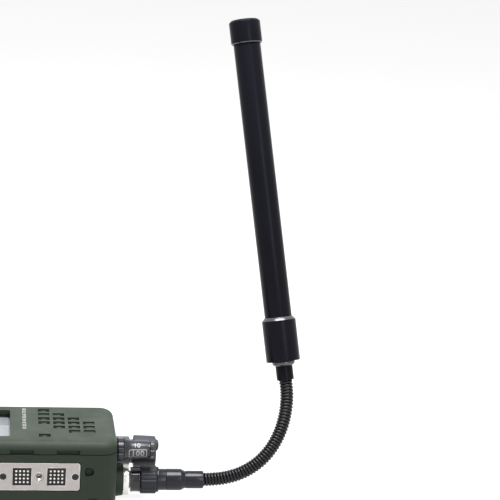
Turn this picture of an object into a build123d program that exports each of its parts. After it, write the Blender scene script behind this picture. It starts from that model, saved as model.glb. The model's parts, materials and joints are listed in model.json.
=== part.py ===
from build123d import *
import os
from math import cos, pi, radians, sin, tan

# Handheld field radio, lying on its rear face, with a gooseneck antenna screwed to its top end.
# +X runs along the radio towards its top end, +Y to its left side, +Z out of its front face.
# The origin is the centre of the flat rear face. Sizes are in millimetres.

# ---- overall sizes of the body
RADIO_LENGTH = 155.0
BATTERY_LENGTH = 86.0
BODY_WIDTH = 74.0
BODY_DEPTH = 61.0
FRONT_SHELL_DEPTH = 8.3
EDGE_RADIUS = 5.5
CORNER_RADIUS = 10.0
WALL = 2.6
SEAL_THICKNESS = 0.6
SEAL_INSET = 0.7
SEAL_WIDTH = 1.4
BATTERY_GAP = 0.3

# ---- clearances
RUNNING = 0.05
SLIP = 0.25
REST_GAP = 0.1

TOP_X = (RADIO_LENGTH + BATTERY_LENGTH) / 2
SPLIT_X = -TOP_X + BATTERY_LENGTH
SIDE_Y = BODY_WIDTH / 2
INNER_Y = SIDE_Y - WALL
FRONT_INNER_Z = BODY_DEPTH - WALL
PARTING_Z = BODY_DEPTH - FRONT_SHELL_DEPTH
SEAL_Z = PARTING_Z - SEAL_THICKNESS
INNER_TOP_X = TOP_X - WALL

# ---- case screws and their columns
COLUMN_RADIUS = 3.8
COLUMN_WALL_GAP = 0.6
COLUMN_Y = INNER_Y - COLUMN_WALL_GAP - COLUMN_RADIUS
COLUMN_INNER_Y = COLUMN_Y - COLUMN_RADIUS
COLUMN_INSET = 8.6
COLUMN_DISPLAY_GAP = 0.5
SCREW_RADIUS = 1.5
SCREW_HEAD_RADIUS = 2.8
SCREW_HEAD_HEIGHT = 2.0
SCREW_HEAD_SUNK = 1.0
SCREW_TIP_Z = FRONT_INNER_Z - 1.4

# ---- display
DISPLAY_LENGTH = 34.0
DISPLAY_WIDTH = 51.0
DISPLAY_TOP_SETBACK = 70.6
DISPLAY_DEPTH = 4.0
DISPLAY_RIM = 1.6
WINDOW_THICKNESS = 1.4
MODULE_THICKNESS = 3.2
BOARD_THICKNESS = 1.6
BOARD_COLUMN_GAP = 0.2
FRONT_BOARD_WIDTH = 2 * (COLUMN_INNER_Y - BOARD_COLUMN_GAP)

# ---- keypad
KEY_COLUMNS = 4
KEY_ROWS = 3
KEY_PITCH_X = 12.6
KEY_PITCH_Y = 0.504 * COLUMN_INNER_Y
KEY_LENGTH = 9.0
KEY_WIDTH = KEY_PITCH_Y - 2.8
KEY_PROUD = 1.3
KEY_FLANGE = 0.8
KEY_FLANGE_THICKNESS = 1.2
KEY_TRAVEL = 0.8
KEY_GAP_TO_DISPLAY = 8.0
KEY_CORNER = 2.0

# ---- loudspeaker and microphone with their slots
SLOT_LENGTH = 7.8
SLOT_WIDTH = 5.2
SLOT_DEPTH = 0.9
SLOT_PITCH_X = 9.95
SLOT_PITCH_Y = 8.13
SLOT_FIRST_SETBACK = 48.0
SLOT_CENTRE_Y = 1.0
SLOT_HOLE_LENGTH = 2.4
SLOT_HOLE_WIDTH = 4.2
SPEAKER_RADIUS = 18.0
SPEAKER_THICKNESS = 5.0
MAGNET_RADIUS = 9.0
MAGNET_THICKNESS = 4.0
SPEAKER_SETBACK = 32.0
SPEAKER_Y = 5.0
MICROPHONE_RADIUS = 3.2
MICROPHONE_THICKNESS = 3.0

# ---- accessory connector plate on the right side
PLATE_LENGTH = 53.2
PLATE_HEIGHT = 19.0
PLATE_THICKNESS = 2.3
PLATE_CORNER = 1.8
PLATE_SETBACK = 51.2
PLATE_Z = PARTING_Z - 15.7
PLATE_GAP = 0.5
PLATE_SUNK = 0.1
PLATE_BACKING = 3.4
BLOCK_SIZE = 12.1
BLOCK_SPACING = 22.5
BLOCK_DEPTH = 3.8
PAD_RADIUS = 0.73
PAD_PITCH = 2.54
PAD_THICKNESS = 0.25
PLATE_SCREW_SPACING = 47.2
PLATE_SCREW_HEAD = 2.25
PLATE_SCREW_HEAD_HEIGHT = 1.3
PLATE_SCREW_RADIUS = 1.2
PLATE_SCREW_LENGTH = 4.9
INSERT_RADIUS = 3.1
INSERT_LENGTH = 5.6
INSERT_BORE_RADIUS = 1.65
INSERT_BORE_DEPTH = 5.0
KEYWAY_SETBACK = 20.9
KEYWAY_LENGTH = 5.6
KEYWAY_HEIGHT = 6.3
KEYWAY_Z = PLATE_Z + 3.4
KEYWAY_DEPTH = 2.0
STRIP_LENGTH = 15.2
STRIP_HEIGHT = 2.8
STRIP_DEPTH = 1.2
STRIP_SPACING = 30.3
STRIP_SETBACK = 47.7
NOTCH_HEIGHT = 22.0
NOTCH_DEPTH = 1.6
NOTCH_WIDTH = 5.5
NOTCH_PITCH = 12.9

# ---- push-to-talk and volume buttons on the left side
PTT_LENGTH = 42.0
PTT_HEIGHT = 15.0
PTT_SETBACK = 58.5
VOLUME_LENGTH = 10.5
VOLUME_HEIGHT = 12.0
VOLUME_PITCH = 15.0
SIDE_BUTTON_Z = PLATE_Z - 4.0
SIDE_BUTTON_PROUD = 1.6
SIDE_BUTTON_FLANGE = 1.0
SIDE_BUTTON_FLANGE_THICKNESS = 1.4

# ---- electronics
STANDOFF_Z = 20.0
MAIN_BOARD_SETBACK = 14.0
MAIN_BOARD_WIDTH = FRONT_BOARD_WIDTH - 2.0
SHIELD_LENGTH = 84.0
SHIELD_WIDTH = MAIN_BOARD_WIDTH - 6.0
SHIELD_HEIGHT = 8.0
SHIELD_WALL = 0.8
STANDOFF_RADIUS = 3.0

# ---- antenna connector on the top end
SELECTOR_Z = BODY_DEPTH - 13.7
ANTENNA_Y = -7.0
ANTENNA_Z = SELECTOR_Z - 23.4
BOSS_RADIUS = 10.8
BOSS_FLARE = 1.2
BOSS_LENGTH = 5.6
SOCKET_RING_RADIUS = 10.5
SOCKET_RING_LENGTH = 3.8
SOCKET_BARREL_RADIUS = 5.5
SOCKET_BARREL_END = 15.5
SOCKET_TAIL_LENGTH = 9.0
SOCKET_TAIL_RADIUS = 5.0
PLUG_START = 10.9
PLUG_LENGTH = 6.2
PLUG_RADIUS = 8.4
COLLAR_START = 17.6
COLLAR_LENGTH = 10.8
COLLAR_RADIUS = 9.55
COLLAR_FLATS = 20
COLLAR_GROOVE = 0.5
STUB_RADIUS = 6.0
NECK_FLANGE_START = 28.7
NECK_FLANGE_LENGTH = 1.2
NECK_FLANGE_RADIUS = 8.55
BARREL_RADIUS = 7.36
BARREL_END = 45.1
TAPER_END = 48.0
NARROW_RADIUS = 6.05

# ---- gooseneck, as a chain of links that bend in one plane
NECK_BENDS = (4.1, 12.3, 15.4, 15.7, 14.8, 12.5, 10.6, 12.3)
NECK_LINKS = len(NECK_BENDS) - 1
LINK_PITCH = 13.0
LINK_RADIUS = 4.75
BALL_RADIUS = LINK_RADIUS - 1.2
LINK_MAX_BEND = 25.0
LINK_GAP = LINK_RADIUS * tan(radians(LINK_MAX_BEND / 2)) + 0.35
FIRST_PIVOT = 62.0
NECK_LEAN = 16.3

# ---- antenna on the end of the neck, measured along it from the last pivot
FERRULE_START = 10.8
FERRULE_RADIUS = LINK_RADIUS + 1.15
FERRULE_RING_START = 20.7
FERRULE_RING_RADIUS = LINK_RADIUS + 3.05
FERRULE_RING_CHAMFER = 1.2
STUD_RADIUS = 3.95
STUD_END = 36.0
SLEEVE_START = 23.7
SLEEVE_LENGTH = 28.3
SLEEVE_SHOULDER = 2.2
SLEEVE_CHAMFER = 0.4
TUBE_START = 34.0
TUBE_RADIUS = 9.33
TUBE_WALL = 1.3
SLEEVE_RADIUS = TUBE_RADIUS + 2.31
CAP_START = 243.4
CAP_LENGTH = 16.5
CAP_RADIUS = TUBE_RADIUS + 1.43
CAP_TOP_WALL = 3.0
CAP_CHAMFER = 1.4
ROD_RADIUS = 1.5
ROD_END = 236.0

# ---- rotary selector on the top end
SELECTOR_Y = -0.458 * COLUMN_INNER_Y
SWITCH_RADIUS = 6.3
SWITCH_LENGTH = 13.0
BUSHING_RADIUS = 3.4
SHAFT_RADIUS = 2.0
RING_START = 1.1
RING_LENGTH = 4.1
RING_RADIUS = 8.05
RING_FLUTES = 12
FLUTE_RADIUS = 0.9
FLUTE_OFFSET = 0.3
KNOB_START = 5.4
KNOB_FLARE_LENGTH = 6.7
KNOB_FLARE_RADIUS = 7.9
KNOB_RADIUS = 5.9
KNOB_WAIST_RADIUS = 6.5
KNOB_CROWN_RADIUS = 6.5
KNOB_GROOVE_START = 21.5
KNOB_GROOVE_LENGTH = 1.3
KNOB_GROOVE_DEPTH = 0.7
KNOB_END = 26.0
KNOB_RIDGES = 12
KNOB_CROWN_WALL = 3.0

# ---- audio connector and its dust cap on the top end
AUDIO_Y = 0.649 * COLUMN_INNER_Y
AUDIO_Z = SELECTOR_Z - 12.3
AUDIO_RADIUS = 8.2
AUDIO_LENGTH = 20.0
AUDIO_FLANGE_RADIUS = AUDIO_RADIUS + 2.4
AUDIO_FLANGE_LENGTH = 2.0
AUDIO_SHELL_RADIUS = AUDIO_RADIUS + 2.1
AUDIO_SHELL_END = 11.2
AUDIO_BODY_RADIUS = 7.0
AUDIO_BODY_LENGTH = 9.0
AUDIO_SOCKET_RADIUS = AUDIO_RADIUS - 1.4
AUDIO_SOCKET_DEPTH = 3.0
DUST_CAP_START = 14.1
DUST_CAP_RADIUS = AUDIO_RADIUS + 3.0
DUST_CAP_END = 29.2
DUST_CAP_TAPER = 0.6
DUST_CAP_DOME = 2.2
DUST_CAP_DOME_RADIUS = AUDIO_RADIUS - 4.2
DUST_CAP_DOME_RISE = AUDIO_RADIUS - 3.5
DUST_CAP_DOME_SLOPE = 1.4

# ---- battery
TERMINAL_RADIUS = 3.0
TERMINAL_PITCH = 12.0
TERMINAL_Z = 14.0
LATCH_Z = 30.0
LATCH_LENGTH = 12.0
LATCH_HEIGHT = 18.0
LATCH_PROUD = 0.8
LATCH_FLANGE = 1.0
LATCH_TRAVEL = 1.5
LATCH_SETBACK = 6.0
TONGUE_THICKNESS = 1.5
TONGUE_HEIGHT = 10.0
TONGUE_OUTER_Y = INNER_Y - 1.9
HOOK_REACH = 1.0
HOOK_LENGTH = 1.5
CELL_REACH = TONGUE_OUTER_Y - TONGUE_THICKNESS - LATCH_TRAVEL - 0.4
CELL_COLUMNS = 3
CELL_ROWS = 2
CELL_PITCH_Y = 0.687 * CELL_REACH
CELL_RADIUS = CELL_REACH - CELL_PITCH_Y
CELL_PITCH_Z = 21.0
CELL_LENGTH = 65.0

LAID = {}


def block(x0, x1, y0, y1, z0, z1):
    """Box between two corners."""
    size = Box(x1 - x0, y1 - y0, z1 - z0)
    return Pos((x0 + x1) / 2, (y0 + y1) / 2, (z0 + z1) / 2) * size


def disc_x(x0, x1, radius, y, z):
    """Round bar along X."""
    return Pos((x0 + x1) / 2, y, z) * Rot(0, 90, 0) * Cylinder(radius, x1 - x0)


def cone_x(x0, x1, radius0, radius1, y, z):
    """Tapered bar along X."""
    return Pos((x0 + x1) / 2, y, z) * Rot(0, 90, 0) * Cone(radius0, radius1, x1 - x0)


def disc_y(y0, y1, radius, x, z):
    """Round bar along Y."""
    return Pos(x, (y0 + y1) / 2, z) * Rot(90, 0, 0) * Cylinder(radius, y1 - y0)


def disc_z(z0, z1, radius, x, y):
    """Round bar along Z."""
    return Pos(x, y, (z0 + z1) / 2) * Cylinder(radius, z1 - z0)


def upright_box(x0, x1, y0, y1, z0, z1, radius):
    """Box whose four edges along Z are rounded."""
    sharp = block(x0, x1, y0, y1, z0, z1)
    return fillet(sharp.edges().filter_by(Axis.Z), radius)


def side_box(x0, x1, y0, y1, z0, z1, radius):
    """Box whose four edges along Y are rounded."""
    sharp = block(x0, x1, y0, y1, z0, z1)
    return fillet(sharp.edges().filter_by(Axis.Y), radius)


def keep(name, shape):
    """Holds a finished node until it is written."""
    LAID[name] = shape


def column_xs():
    """X of the three pairs of screw columns; the middle pair stands between keypad and display."""
    middle = display_span()[0] - DISPLAY_RIM - COLUMN_DISPLAY_GAP - COLUMN_RADIUS
    return SPLIT_X + COLUMN_INSET, middle, TOP_X - COLUMN_INSET


def column_places():
    """Centres of the six screw columns in plan."""
    return [(x, y) for x in column_xs() for y in (-COLUMN_Y, COLUMN_Y)]


def rounded_case(x0, x1, open_end, corner):
    """Case block with every edge rounded but those of the face at open_end, the upright ones by corner."""
    sharp = block(x0, x1, -SIDE_Y, SIDE_Y, 0, BODY_DEPTH)
    upright = [e for e in sharp.edges().filter_by(Axis.Z) if abs(e.center().X - open_end) > 1]
    turned = fillet(upright, corner)
    level = []
    for edge in turned.edges():
        centre = edge.center()
        at_face = min(centre.Z, BODY_DEPTH - centre.Z) < 1e-6
        if at_face and abs(centre.X - open_end) > 1e-6:
            level.append(edge)
    return fillet(level, EDGE_RADIUS)


def slot_places():
    """Centre of each slot in the front face, and which of its ends are pierced."""
    pattern = {
        0: {0: "both", 1: "none", 2: "both", 3: "both", 6: "both"},
        1: {1: "top", 2: "both", 3: "both", 4: "both"},
        2: {2: "both", 3: "both", 4: "both", 5: "bottom"},
        3: {3: "bottom", 4: "bottom", 5: "none"},
    }
    places = []
    for column, rows in pattern.items():
        x = TOP_X - SLOT_FIRST_SETBACK + column * SLOT_PITCH_X
        for row, ends in rows.items():
            places.append((x, SLOT_CENTRE_Y + (3 - row) * SLOT_PITCH_Y, ends))
    return places


def key_places():
    """Centre of each keypad key, row by row from the display."""
    first_x = display_span()[0] - KEY_GAP_TO_DISPLAY - KEY_LENGTH / 2
    places = []
    for row in range(KEY_ROWS):
        for column in range(KEY_COLUMNS):
            y = ((KEY_COLUMNS - 1) / 2 - column) * KEY_PITCH_Y
            places.append((first_x - row * KEY_PITCH_X, y))
    return places


def display_span():
    """X of the display opening's two ends."""
    end = TOP_X - DISPLAY_TOP_SETBACK
    return end - DISPLAY_LENGTH, end


def make_front_shell():
    """Front half of the radio's housing, with openings for display, keys and sound."""
    shell = rounded_case(SPLIT_X, TOP_X, SPLIT_X, CORNER_RADIUS)
    shell -= block(SPLIT_X - 1, TOP_X + 1, -SIDE_Y - 1, SIDE_Y + 1, -1, PARTING_Z)
    hollow = upright_box(
        SPLIT_X + WALL, INNER_TOP_X, -INNER_Y, INNER_Y, PARTING_Z - 1, FRONT_INNER_Z, CORNER_RADIUS - WALL
    )
    shell -= hollow
    x0, x1 = display_span()
    half = DISPLAY_WIDTH / 2
    rim_z = BODY_DEPTH - DISPLAY_DEPTH
    rim = block(
        x0 - DISPLAY_RIM, x1 + DISPLAY_RIM, -half - DISPLAY_RIM, half + DISPLAY_RIM, rim_z, FRONT_INNER_Z
    )
    shell += rim
    shell -= upright_box(x0, x1, -half, half, rim_z - 1, BODY_DEPTH + 1, KEY_CORNER)
    for x, y in column_places():
        shell += disc_z(PARTING_Z, FRONT_INNER_Z, COLUMN_RADIUS, x, y)
        shell -= disc_z(PARTING_Z - 1, SCREW_TIP_Z + REST_GAP, SCREW_RADIUS + RUNNING, x, y)
    for x, y in key_places():
        half_x = KEY_LENGTH / 2 + SLIP
        half_y = KEY_WIDTH / 2 + SLIP
        hole = upright_box(
            x - half_x, x + half_x, y - half_y, y + half_y, FRONT_INNER_Z - 1, BODY_DEPTH + 1, KEY_CORNER
        )
        shell -= hole
    for x, y, ends in slot_places():
        shell -= slot_cut(x, y, ends)
    for side in (-1, 1):
        x = TOP_X - STRIP_SETBACK + side * STRIP_SPACING / 2
        shell -= block(
            x - STRIP_LENGTH / 2, x + STRIP_LENGTH / 2,
            -SIDE_Y - 1, -SIDE_Y + STRIP_DEPTH, PARTING_Z - 1, PARTING_Z + STRIP_HEIGHT,
        )
    return shell


def slot_cut(x, y, ends):
    """One shallow slot, with its pierced ends."""
    half_x = SLOT_LENGTH / 2
    half_y = SLOT_WIDTH / 2
    floor = BODY_DEPTH - SLOT_DEPTH
    cut = block(x - half_x, x + half_x, y - half_y, y + half_y, floor, BODY_DEPTH + 1)
    hole_y = y - half_y + SLOT_HOLE_WIDTH / 2
    for side, name in ((-1, "bottom"), (1, "top")):
        if ends in ("both", name):
            hole_x = x + side * (half_x - SLOT_HOLE_LENGTH / 2)
            hole = Box(SLOT_HOLE_LENGTH, SLOT_HOLE_WIDTH, 2 * WALL + 2)
            cut += Pos(hole_x, hole_y, BODY_DEPTH) * hole
    return cut


def side_button_hole(length, height, x):
    """Opening in the left wall for one side button."""
    half = length / 2 + SLIP
    tall = height / 2 + SLIP
    return side_box(
        x - half, x + half, INNER_Y - 1, SIDE_Y + 1, SIDE_BUTTON_Z - tall, SIDE_BUTTON_Z + tall, KEY_CORNER
    )


def make_rear_shell():
    """Rear half of the radio's housing, with the antenna boss and the side connector's pocket."""
    shell = rounded_case(SPLIT_X, TOP_X, SPLIT_X, CORNER_RADIUS)
    shell -= block(SPLIT_X - 1, TOP_X + 1, -SIDE_Y - 1, SIDE_Y + 1, SEAL_Z, BODY_DEPTH + 1)
    shell -= upright_box(
        SPLIT_X + WALL, INNER_TOP_X, -INNER_Y, INNER_Y, WALL, BODY_DEPTH, CORNER_RADIUS - WALL
    )
    plate_x = TOP_X - PLATE_SETBACK
    backing = PLATE_THICKNESS + PLATE_BACKING
    half = PLATE_LENGTH / 2 + WALL
    tall = PLATE_HEIGHT / 2 + WALL
    shell += block(
        plate_x - half, plate_x + half, -SIDE_Y + WALL / 2, -SIDE_Y + backing, PLATE_Z - tall, PLATE_Z + tall
    )
    for x, y in column_places():
        shell += disc_z(WALL / 2, SEAL_Z, COLUMN_RADIUS, x, y)
    shell += cone_x(
        INNER_TOP_X, TOP_X + BOSS_LENGTH, BOSS_RADIUS + BOSS_FLARE, BOSS_RADIUS, ANTENNA_Y, ANTENNA_Z
    )
    reach = MAIN_BOARD_WIDTH / 2 - STANDOFF_RADIUS
    for x in standoff_xs():
        for y in (-reach, reach):
            shell += disc_z(WALL / 2, STANDOFF_Z, STANDOFF_RADIUS, x, y)
    return shell - rear_shell_cuts()


def rear_shell_cuts():
    """Every hole and pocket of the rear shell."""
    boss_end = TOP_X + BOSS_LENGTH
    cuts = disc_x(INNER_TOP_X - 1, boss_end + 1, SOCKET_TAIL_RADIUS + RUNNING, ANTENNA_Y, ANTENNA_Z)
    cuts += disc_x(INNER_TOP_X - 1, TOP_X + 1, BUSHING_RADIUS + RUNNING, SELECTOR_Y, SELECTOR_Z)
    cuts += disc_x(INNER_TOP_X - 1, TOP_X + 1, AUDIO_BODY_RADIUS + RUNNING, AUDIO_Y, AUDIO_Z)
    for x, y in column_places():
        cuts += disc_z(-1, BODY_DEPTH, SCREW_RADIUS + RUNNING, x, y)
        cuts += disc_z(-1, SCREW_HEAD_SUNK + SCREW_HEAD_HEIGHT, SCREW_HEAD_RADIUS + RUNNING, x, y)
    cuts += plate_pocket()
    cuts += side_button_hole(PTT_LENGTH, PTT_HEIGHT, TOP_X - PTT_SETBACK)
    for x in volume_xs():
        cuts += side_button_hole(VOLUME_LENGTH, VOLUME_HEIGHT, x)
    for side in (-1, 1):
        near = TONGUE_OUTER_Y - TONGUE_THICKNESS - LATCH_TRAVEL - SLIP
        far = TONGUE_OUTER_Y + SLIP
        y0, y1 = sorted((side * near, side * far))
        tall = TONGUE_HEIGHT / 2 + SLIP
        cuts += block(SPLIT_X - 1, SPLIT_X + WALL + 1, y0, y1, LATCH_Z - tall, LATCH_Z + tall)
        y0, y1 = sorted((side * near, side * (far + HOOK_REACH)))
        hook_end = SPLIT_X + WALL + HOOK_LENGTH + SLIP
        cuts += block(SPLIT_X + WALL, hook_end, y0, y1, LATCH_Z - tall, LATCH_Z + tall)
        for number in (0, 1):
            x = TOP_X - NOTCH_WIDTH / 2 - number * NOTCH_PITCH
            y = side * (SIDE_Y - NOTCH_DEPTH / 2 + 0.5)
            reach = NOTCH_HEIGHT - EDGE_RADIUS
            cuts += Pos(x, y, EDGE_RADIUS + reach / 2) * Box(NOTCH_WIDTH, NOTCH_DEPTH + 1, reach)
    return cuts


def plate_pocket():
    """Pocket for the connector plate, its blocks, insert and screws, and the keyway beside it."""
    x = TOP_X - PLATE_SETBACK
    half = PLATE_LENGTH / 2 + PLATE_GAP
    tall = PLATE_HEIGHT / 2 + PLATE_GAP
    floor = -SIDE_Y + PLATE_SUNK + PLATE_THICKNESS
    corner = PLATE_CORNER + PLATE_GAP
    cut = side_box(x - half, x + half, -SIDE_Y - 1, floor, PLATE_Z - tall, PLATE_Z + tall, corner)
    for centre in block_xs():
        half_block = BLOCK_SIZE / 2 + RUNNING
        cut += block(
            centre - half_block, centre + half_block, -SIDE_Y, -SIDE_Y + PLATE_SUNK + BLOCK_DEPTH,
            PLATE_Z - half_block, PLATE_Z + half_block,
        )
    cut += disc_y(-SIDE_Y, -SIDE_Y + PLATE_SUNK + INSERT_LENGTH, INSERT_RADIUS + RUNNING, x, PLATE_Z)
    screw_end = -SIDE_Y + PLATE_SUNK + PLATE_SCREW_LENGTH
    for centre in plate_screw_xs():
        cut += disc_y(-SIDE_Y, screw_end, PLATE_SCREW_RADIUS + RUNNING, centre, PLATE_Z)
    return cut + keyway_cut()


def keyway_cut():
    """Blind D-shaped locating recess, round towards the top end."""
    x0 = TOP_X - KEYWAY_SETBACK
    y1 = -SIDE_Y + KEYWAY_DEPTH
    radius = KEYWAY_HEIGHT / 2
    round_x = x0 + KEYWAY_LENGTH - radius
    flat = block(x0, round_x, -SIDE_Y - 1, y1, KEYWAY_Z - radius, KEYWAY_Z + radius)
    return flat + disc_y(-SIDE_Y - 1, y1, radius, round_x, KEYWAY_Z)


def block_xs():
    """X of the two contact blocks."""
    centre = TOP_X - PLATE_SETBACK
    return (centre - BLOCK_SPACING / 2, centre + BLOCK_SPACING / 2)


def plate_screw_xs():
    """X of the connector plate's two screws."""
    centre = TOP_X - PLATE_SETBACK
    return (centre - PLATE_SCREW_SPACING / 2, centre + PLATE_SCREW_SPACING / 2)


def volume_xs():
    """X of the volume-down and volume-up buttons, between two screw columns."""
    low, high = column_xs()[:2]
    centre = (low + high) / 2
    return (centre - VOLUME_PITCH / 2, centre + VOLUME_PITCH / 2)


def board_span():
    """X of the main board's two ends."""
    return SPLIT_X + WALL + 4.0, TOP_X - MAIN_BOARD_SETBACK


def standoff_xs():
    """X of the main board's standoffs."""
    x0, x1 = board_span()
    return (x0 + 2 * STANDOFF_RADIUS, x1 - 2 * STANDOFF_RADIUS)


def make_shell_seal():
    """Rubber gasket between the two shells."""
    outer = inset_frame(SEAL_INSET, SEAL_Z, PARTING_Z)
    return outer - inset_frame(SEAL_INSET + SEAL_WIDTH, SEAL_Z - 1, PARTING_Z + 1)


def inset_frame(inset, z0, z1):
    """Slab of the radio's outline in plan, drawn in by an inset."""
    y = SIDE_Y - inset
    return upright_box(SPLIT_X + inset, TOP_X - inset, -y, y, z0, z1, CORNER_RADIUS - inset)


def make_case_screws():
    """Six long screws that clamp the two shells together from behind."""
    screws = []
    for x, y in column_places():
        head_top = SCREW_HEAD_SUNK + SCREW_HEAD_HEIGHT
        screw = disc_z(SCREW_HEAD_SUNK, head_top, SCREW_HEAD_RADIUS, x, y)
        screws.append(screw + disc_z(head_top, SCREW_TIP_Z, SCREW_RADIUS, x, y))
    return Compound(children=screws)


def make_display():
    """Display window, display module and the board that carries them."""
    x0, x1 = display_span()
    half = DISPLAY_WIDTH / 2 + DISPLAY_RIM - REST_GAP
    lip = DISPLAY_RIM - REST_GAP
    top = BODY_DEPTH - DISPLAY_DEPTH
    bottom = top - WINDOW_THICKNESS
    keep("lcd_window", block(x0 - lip, x1 + lip, -half, half, bottom, top))
    keep("lcd_module", block(x0 - lip, x1 + lip, -half, half, bottom - MODULE_THICKNESS, bottom))


def front_board_top():
    """Z of the front board's upper face."""
    return BODY_DEPTH - DISPLAY_DEPTH - WINDOW_THICKNESS - MODULE_THICKNESS


def make_keypad():
    """Front board, rubber switch mat and the keys."""
    board_z = front_board_top()
    xs = [x for x, y in key_places()]
    board_x0 = min(xs) - KEY_LENGTH / 2 - KEY_FLANGE
    board_x1 = display_span()[1] + DISPLAY_RIM
    half = FRONT_BOARD_WIDTH / 2
    keep("front_board", block(board_x0, board_x1, -half, half, board_z - BOARD_THICKNESS, board_z))
    flange_top = FRONT_INNER_Z - REST_GAP
    flange_bottom = flange_top - KEY_FLANGE_THICKNESS
    mat_top = flange_bottom - KEY_TRAVEL - REST_GAP
    mat_x1 = max(xs) + KEY_LENGTH / 2 + KEY_FLANGE
    keep("keypad_mat", block(board_x0, mat_x1, -half, half, board_z, mat_top))
    for number, (x, y) in enumerate(key_places(), 1):
        keep(f"key_{number:02d}", make_key(x, y, flange_bottom, flange_top))


def make_key(x, y, flange_bottom, flange_top):
    """One key cap with the flange that holds it behind the front shell."""
    top = BODY_DEPTH + KEY_PROUD
    half_x = KEY_LENGTH / 2
    half_y = KEY_WIDTH / 2
    cap = upright_box(x - half_x, x + half_x, y - half_y, y + half_y, flange_bottom, top, KEY_CORNER)
    cap = fillet(cap.faces().sort_by(Axis.Z)[-1].edges(), KEY_PROUD / 2)
    return cap + block(
        x - half_x - KEY_FLANGE, x + half_x + KEY_FLANGE, y - half_y - KEY_FLANGE, y + half_y + KEY_FLANGE,
        flange_bottom, flange_top,
    )


def make_sound():
    """Loudspeaker and microphone behind the slots."""
    x = TOP_X - SPEAKER_SETBACK
    back = FRONT_INNER_Z - SPEAKER_THICKNESS
    magnet = disc_z(back - MAGNET_THICKNESS, back, MAGNET_RADIUS, x, SPEAKER_Y)
    keep("speaker", magnet + disc_z(back, FRONT_INNER_Z, SPEAKER_RADIUS, x, SPEAKER_Y))
    x = TOP_X - SLOT_FIRST_SETBACK
    y = SLOT_CENTRE_Y - 3 * SLOT_PITCH_Y
    back = FRONT_INNER_Z - MICROPHONE_THICKNESS
    keep("microphone", disc_z(back, FRONT_INNER_Z, MICROPHONE_RADIUS, x, y))


def make_electronics():
    """Main board on its standoffs, and the shield can over its radio section."""
    x0, x1 = board_span()
    half = MAIN_BOARD_WIDTH / 2
    top = STANDOFF_Z + BOARD_THICKNESS
    keep("main_board", block(x0, x1, -half, half, STANDOFF_Z, top))
    centre = (x0 + x1) / 2
    outer = Pos(centre, 0, top + SHIELD_HEIGHT / 2) * Box(SHIELD_LENGTH, SHIELD_WIDTH, SHIELD_HEIGHT)
    room = Box(SHIELD_LENGTH - 2 * SHIELD_WALL, SHIELD_WIDTH - 2 * SHIELD_WALL, SHIELD_HEIGHT)
    keep("rf_shield", outer - Pos(centre, 0, top + SHIELD_HEIGHT / 2 - SHIELD_WALL) * room)


def make_side_connector():
    """Connector plate with its contact blocks, gold pads, screws and threaded insert."""
    x = TOP_X - PLATE_SETBACK
    y0 = -SIDE_Y + PLATE_SUNK
    y1 = y0 + PLATE_THICKNESS
    half = PLATE_LENGTH / 2
    tall = PLATE_HEIGHT / 2
    plate = side_box(x - half, x + half, y0, y1, PLATE_Z - tall, PLATE_Z + tall, PLATE_CORNER)
    pads = []
    for name, centre in zip(("contact_block_rear", "contact_block_front"), block_xs()):
        size = BLOCK_SIZE / 2
        z0, z1 = PLATE_Z - size, PLATE_Z + size
        gap = RUNNING
        plate -= block(centre - size - gap, centre + size + gap, y0 - 1, y1 + 1, z0 - gap, z1 + gap)
        keep(name, block(centre - size, centre + size, y0, y0 + BLOCK_DEPTH, z0, z1))
        pads += contact_pads(centre, y0)
    keep("contact_pads", Compound(children=pads))
    plate -= disc_y(y0 - 1, y1 + 1, INSERT_RADIUS + RUNNING, x, PLATE_Z)
    screws = []
    head_y = y0 + PLATE_SCREW_HEAD_HEIGHT
    for centre in plate_screw_xs():
        plate -= disc_y(y0 - 1, head_y, PLATE_SCREW_HEAD + RUNNING, centre, PLATE_Z)
        plate -= disc_y(head_y, y1 + 1, PLATE_SCREW_RADIUS + RUNNING, centre, PLATE_Z)
        head = disc_y(y0, head_y, PLATE_SCREW_HEAD, centre, PLATE_Z)
        screws.append(head + disc_y(head_y, y0 + PLATE_SCREW_LENGTH, PLATE_SCREW_RADIUS, centre, PLATE_Z))
    keep("side_plate", plate)
    keep("side_plate_screws", Compound(children=screws))
    insert = disc_y(y0, y0 + INSERT_LENGTH, INSERT_RADIUS, x, PLATE_Z)
    keep("accessory_insert", insert - disc_y(y0 - 1, y0 + INSERT_BORE_DEPTH, INSERT_BORE_RADIUS, x, PLATE_Z))


def contact_pads(centre, y0):
    """Four by four gold pads on one block's face."""
    pads = []
    for row in range(4):
        for column in range(4):
            x = centre + (column - 1.5) * PAD_PITCH
            z = PLATE_Z + (row - 1.5) * PAD_PITCH
            pads.append(disc_y(y0 - PAD_THICKNESS, y0, PAD_RADIUS, x, z))
    return pads


def make_side_button(length, height, x):
    """Side button with the flange that holds it behind the left wall."""
    flange_y = INNER_Y - REST_GAP
    half = length / 2
    tall = height / 2
    z0, z1 = SIDE_BUTTON_Z - tall, SIDE_BUTTON_Z + tall
    cap = side_box(x - half, x + half, flange_y - REST_GAP, SIDE_Y + SIDE_BUTTON_PROUD, z0, z1, KEY_CORNER)
    cap = fillet(cap.faces().sort_by(Axis.Y)[-1].edges(), SIDE_BUTTON_PROUD / 2)
    flange = SIDE_BUTTON_FLANGE
    return cap + block(
        x - half - flange, x + half + flange, flange_y - SIDE_BUTTON_FLANGE_THICKNESS, flange_y,
        z0 - flange, z1 + flange,
    )


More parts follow.
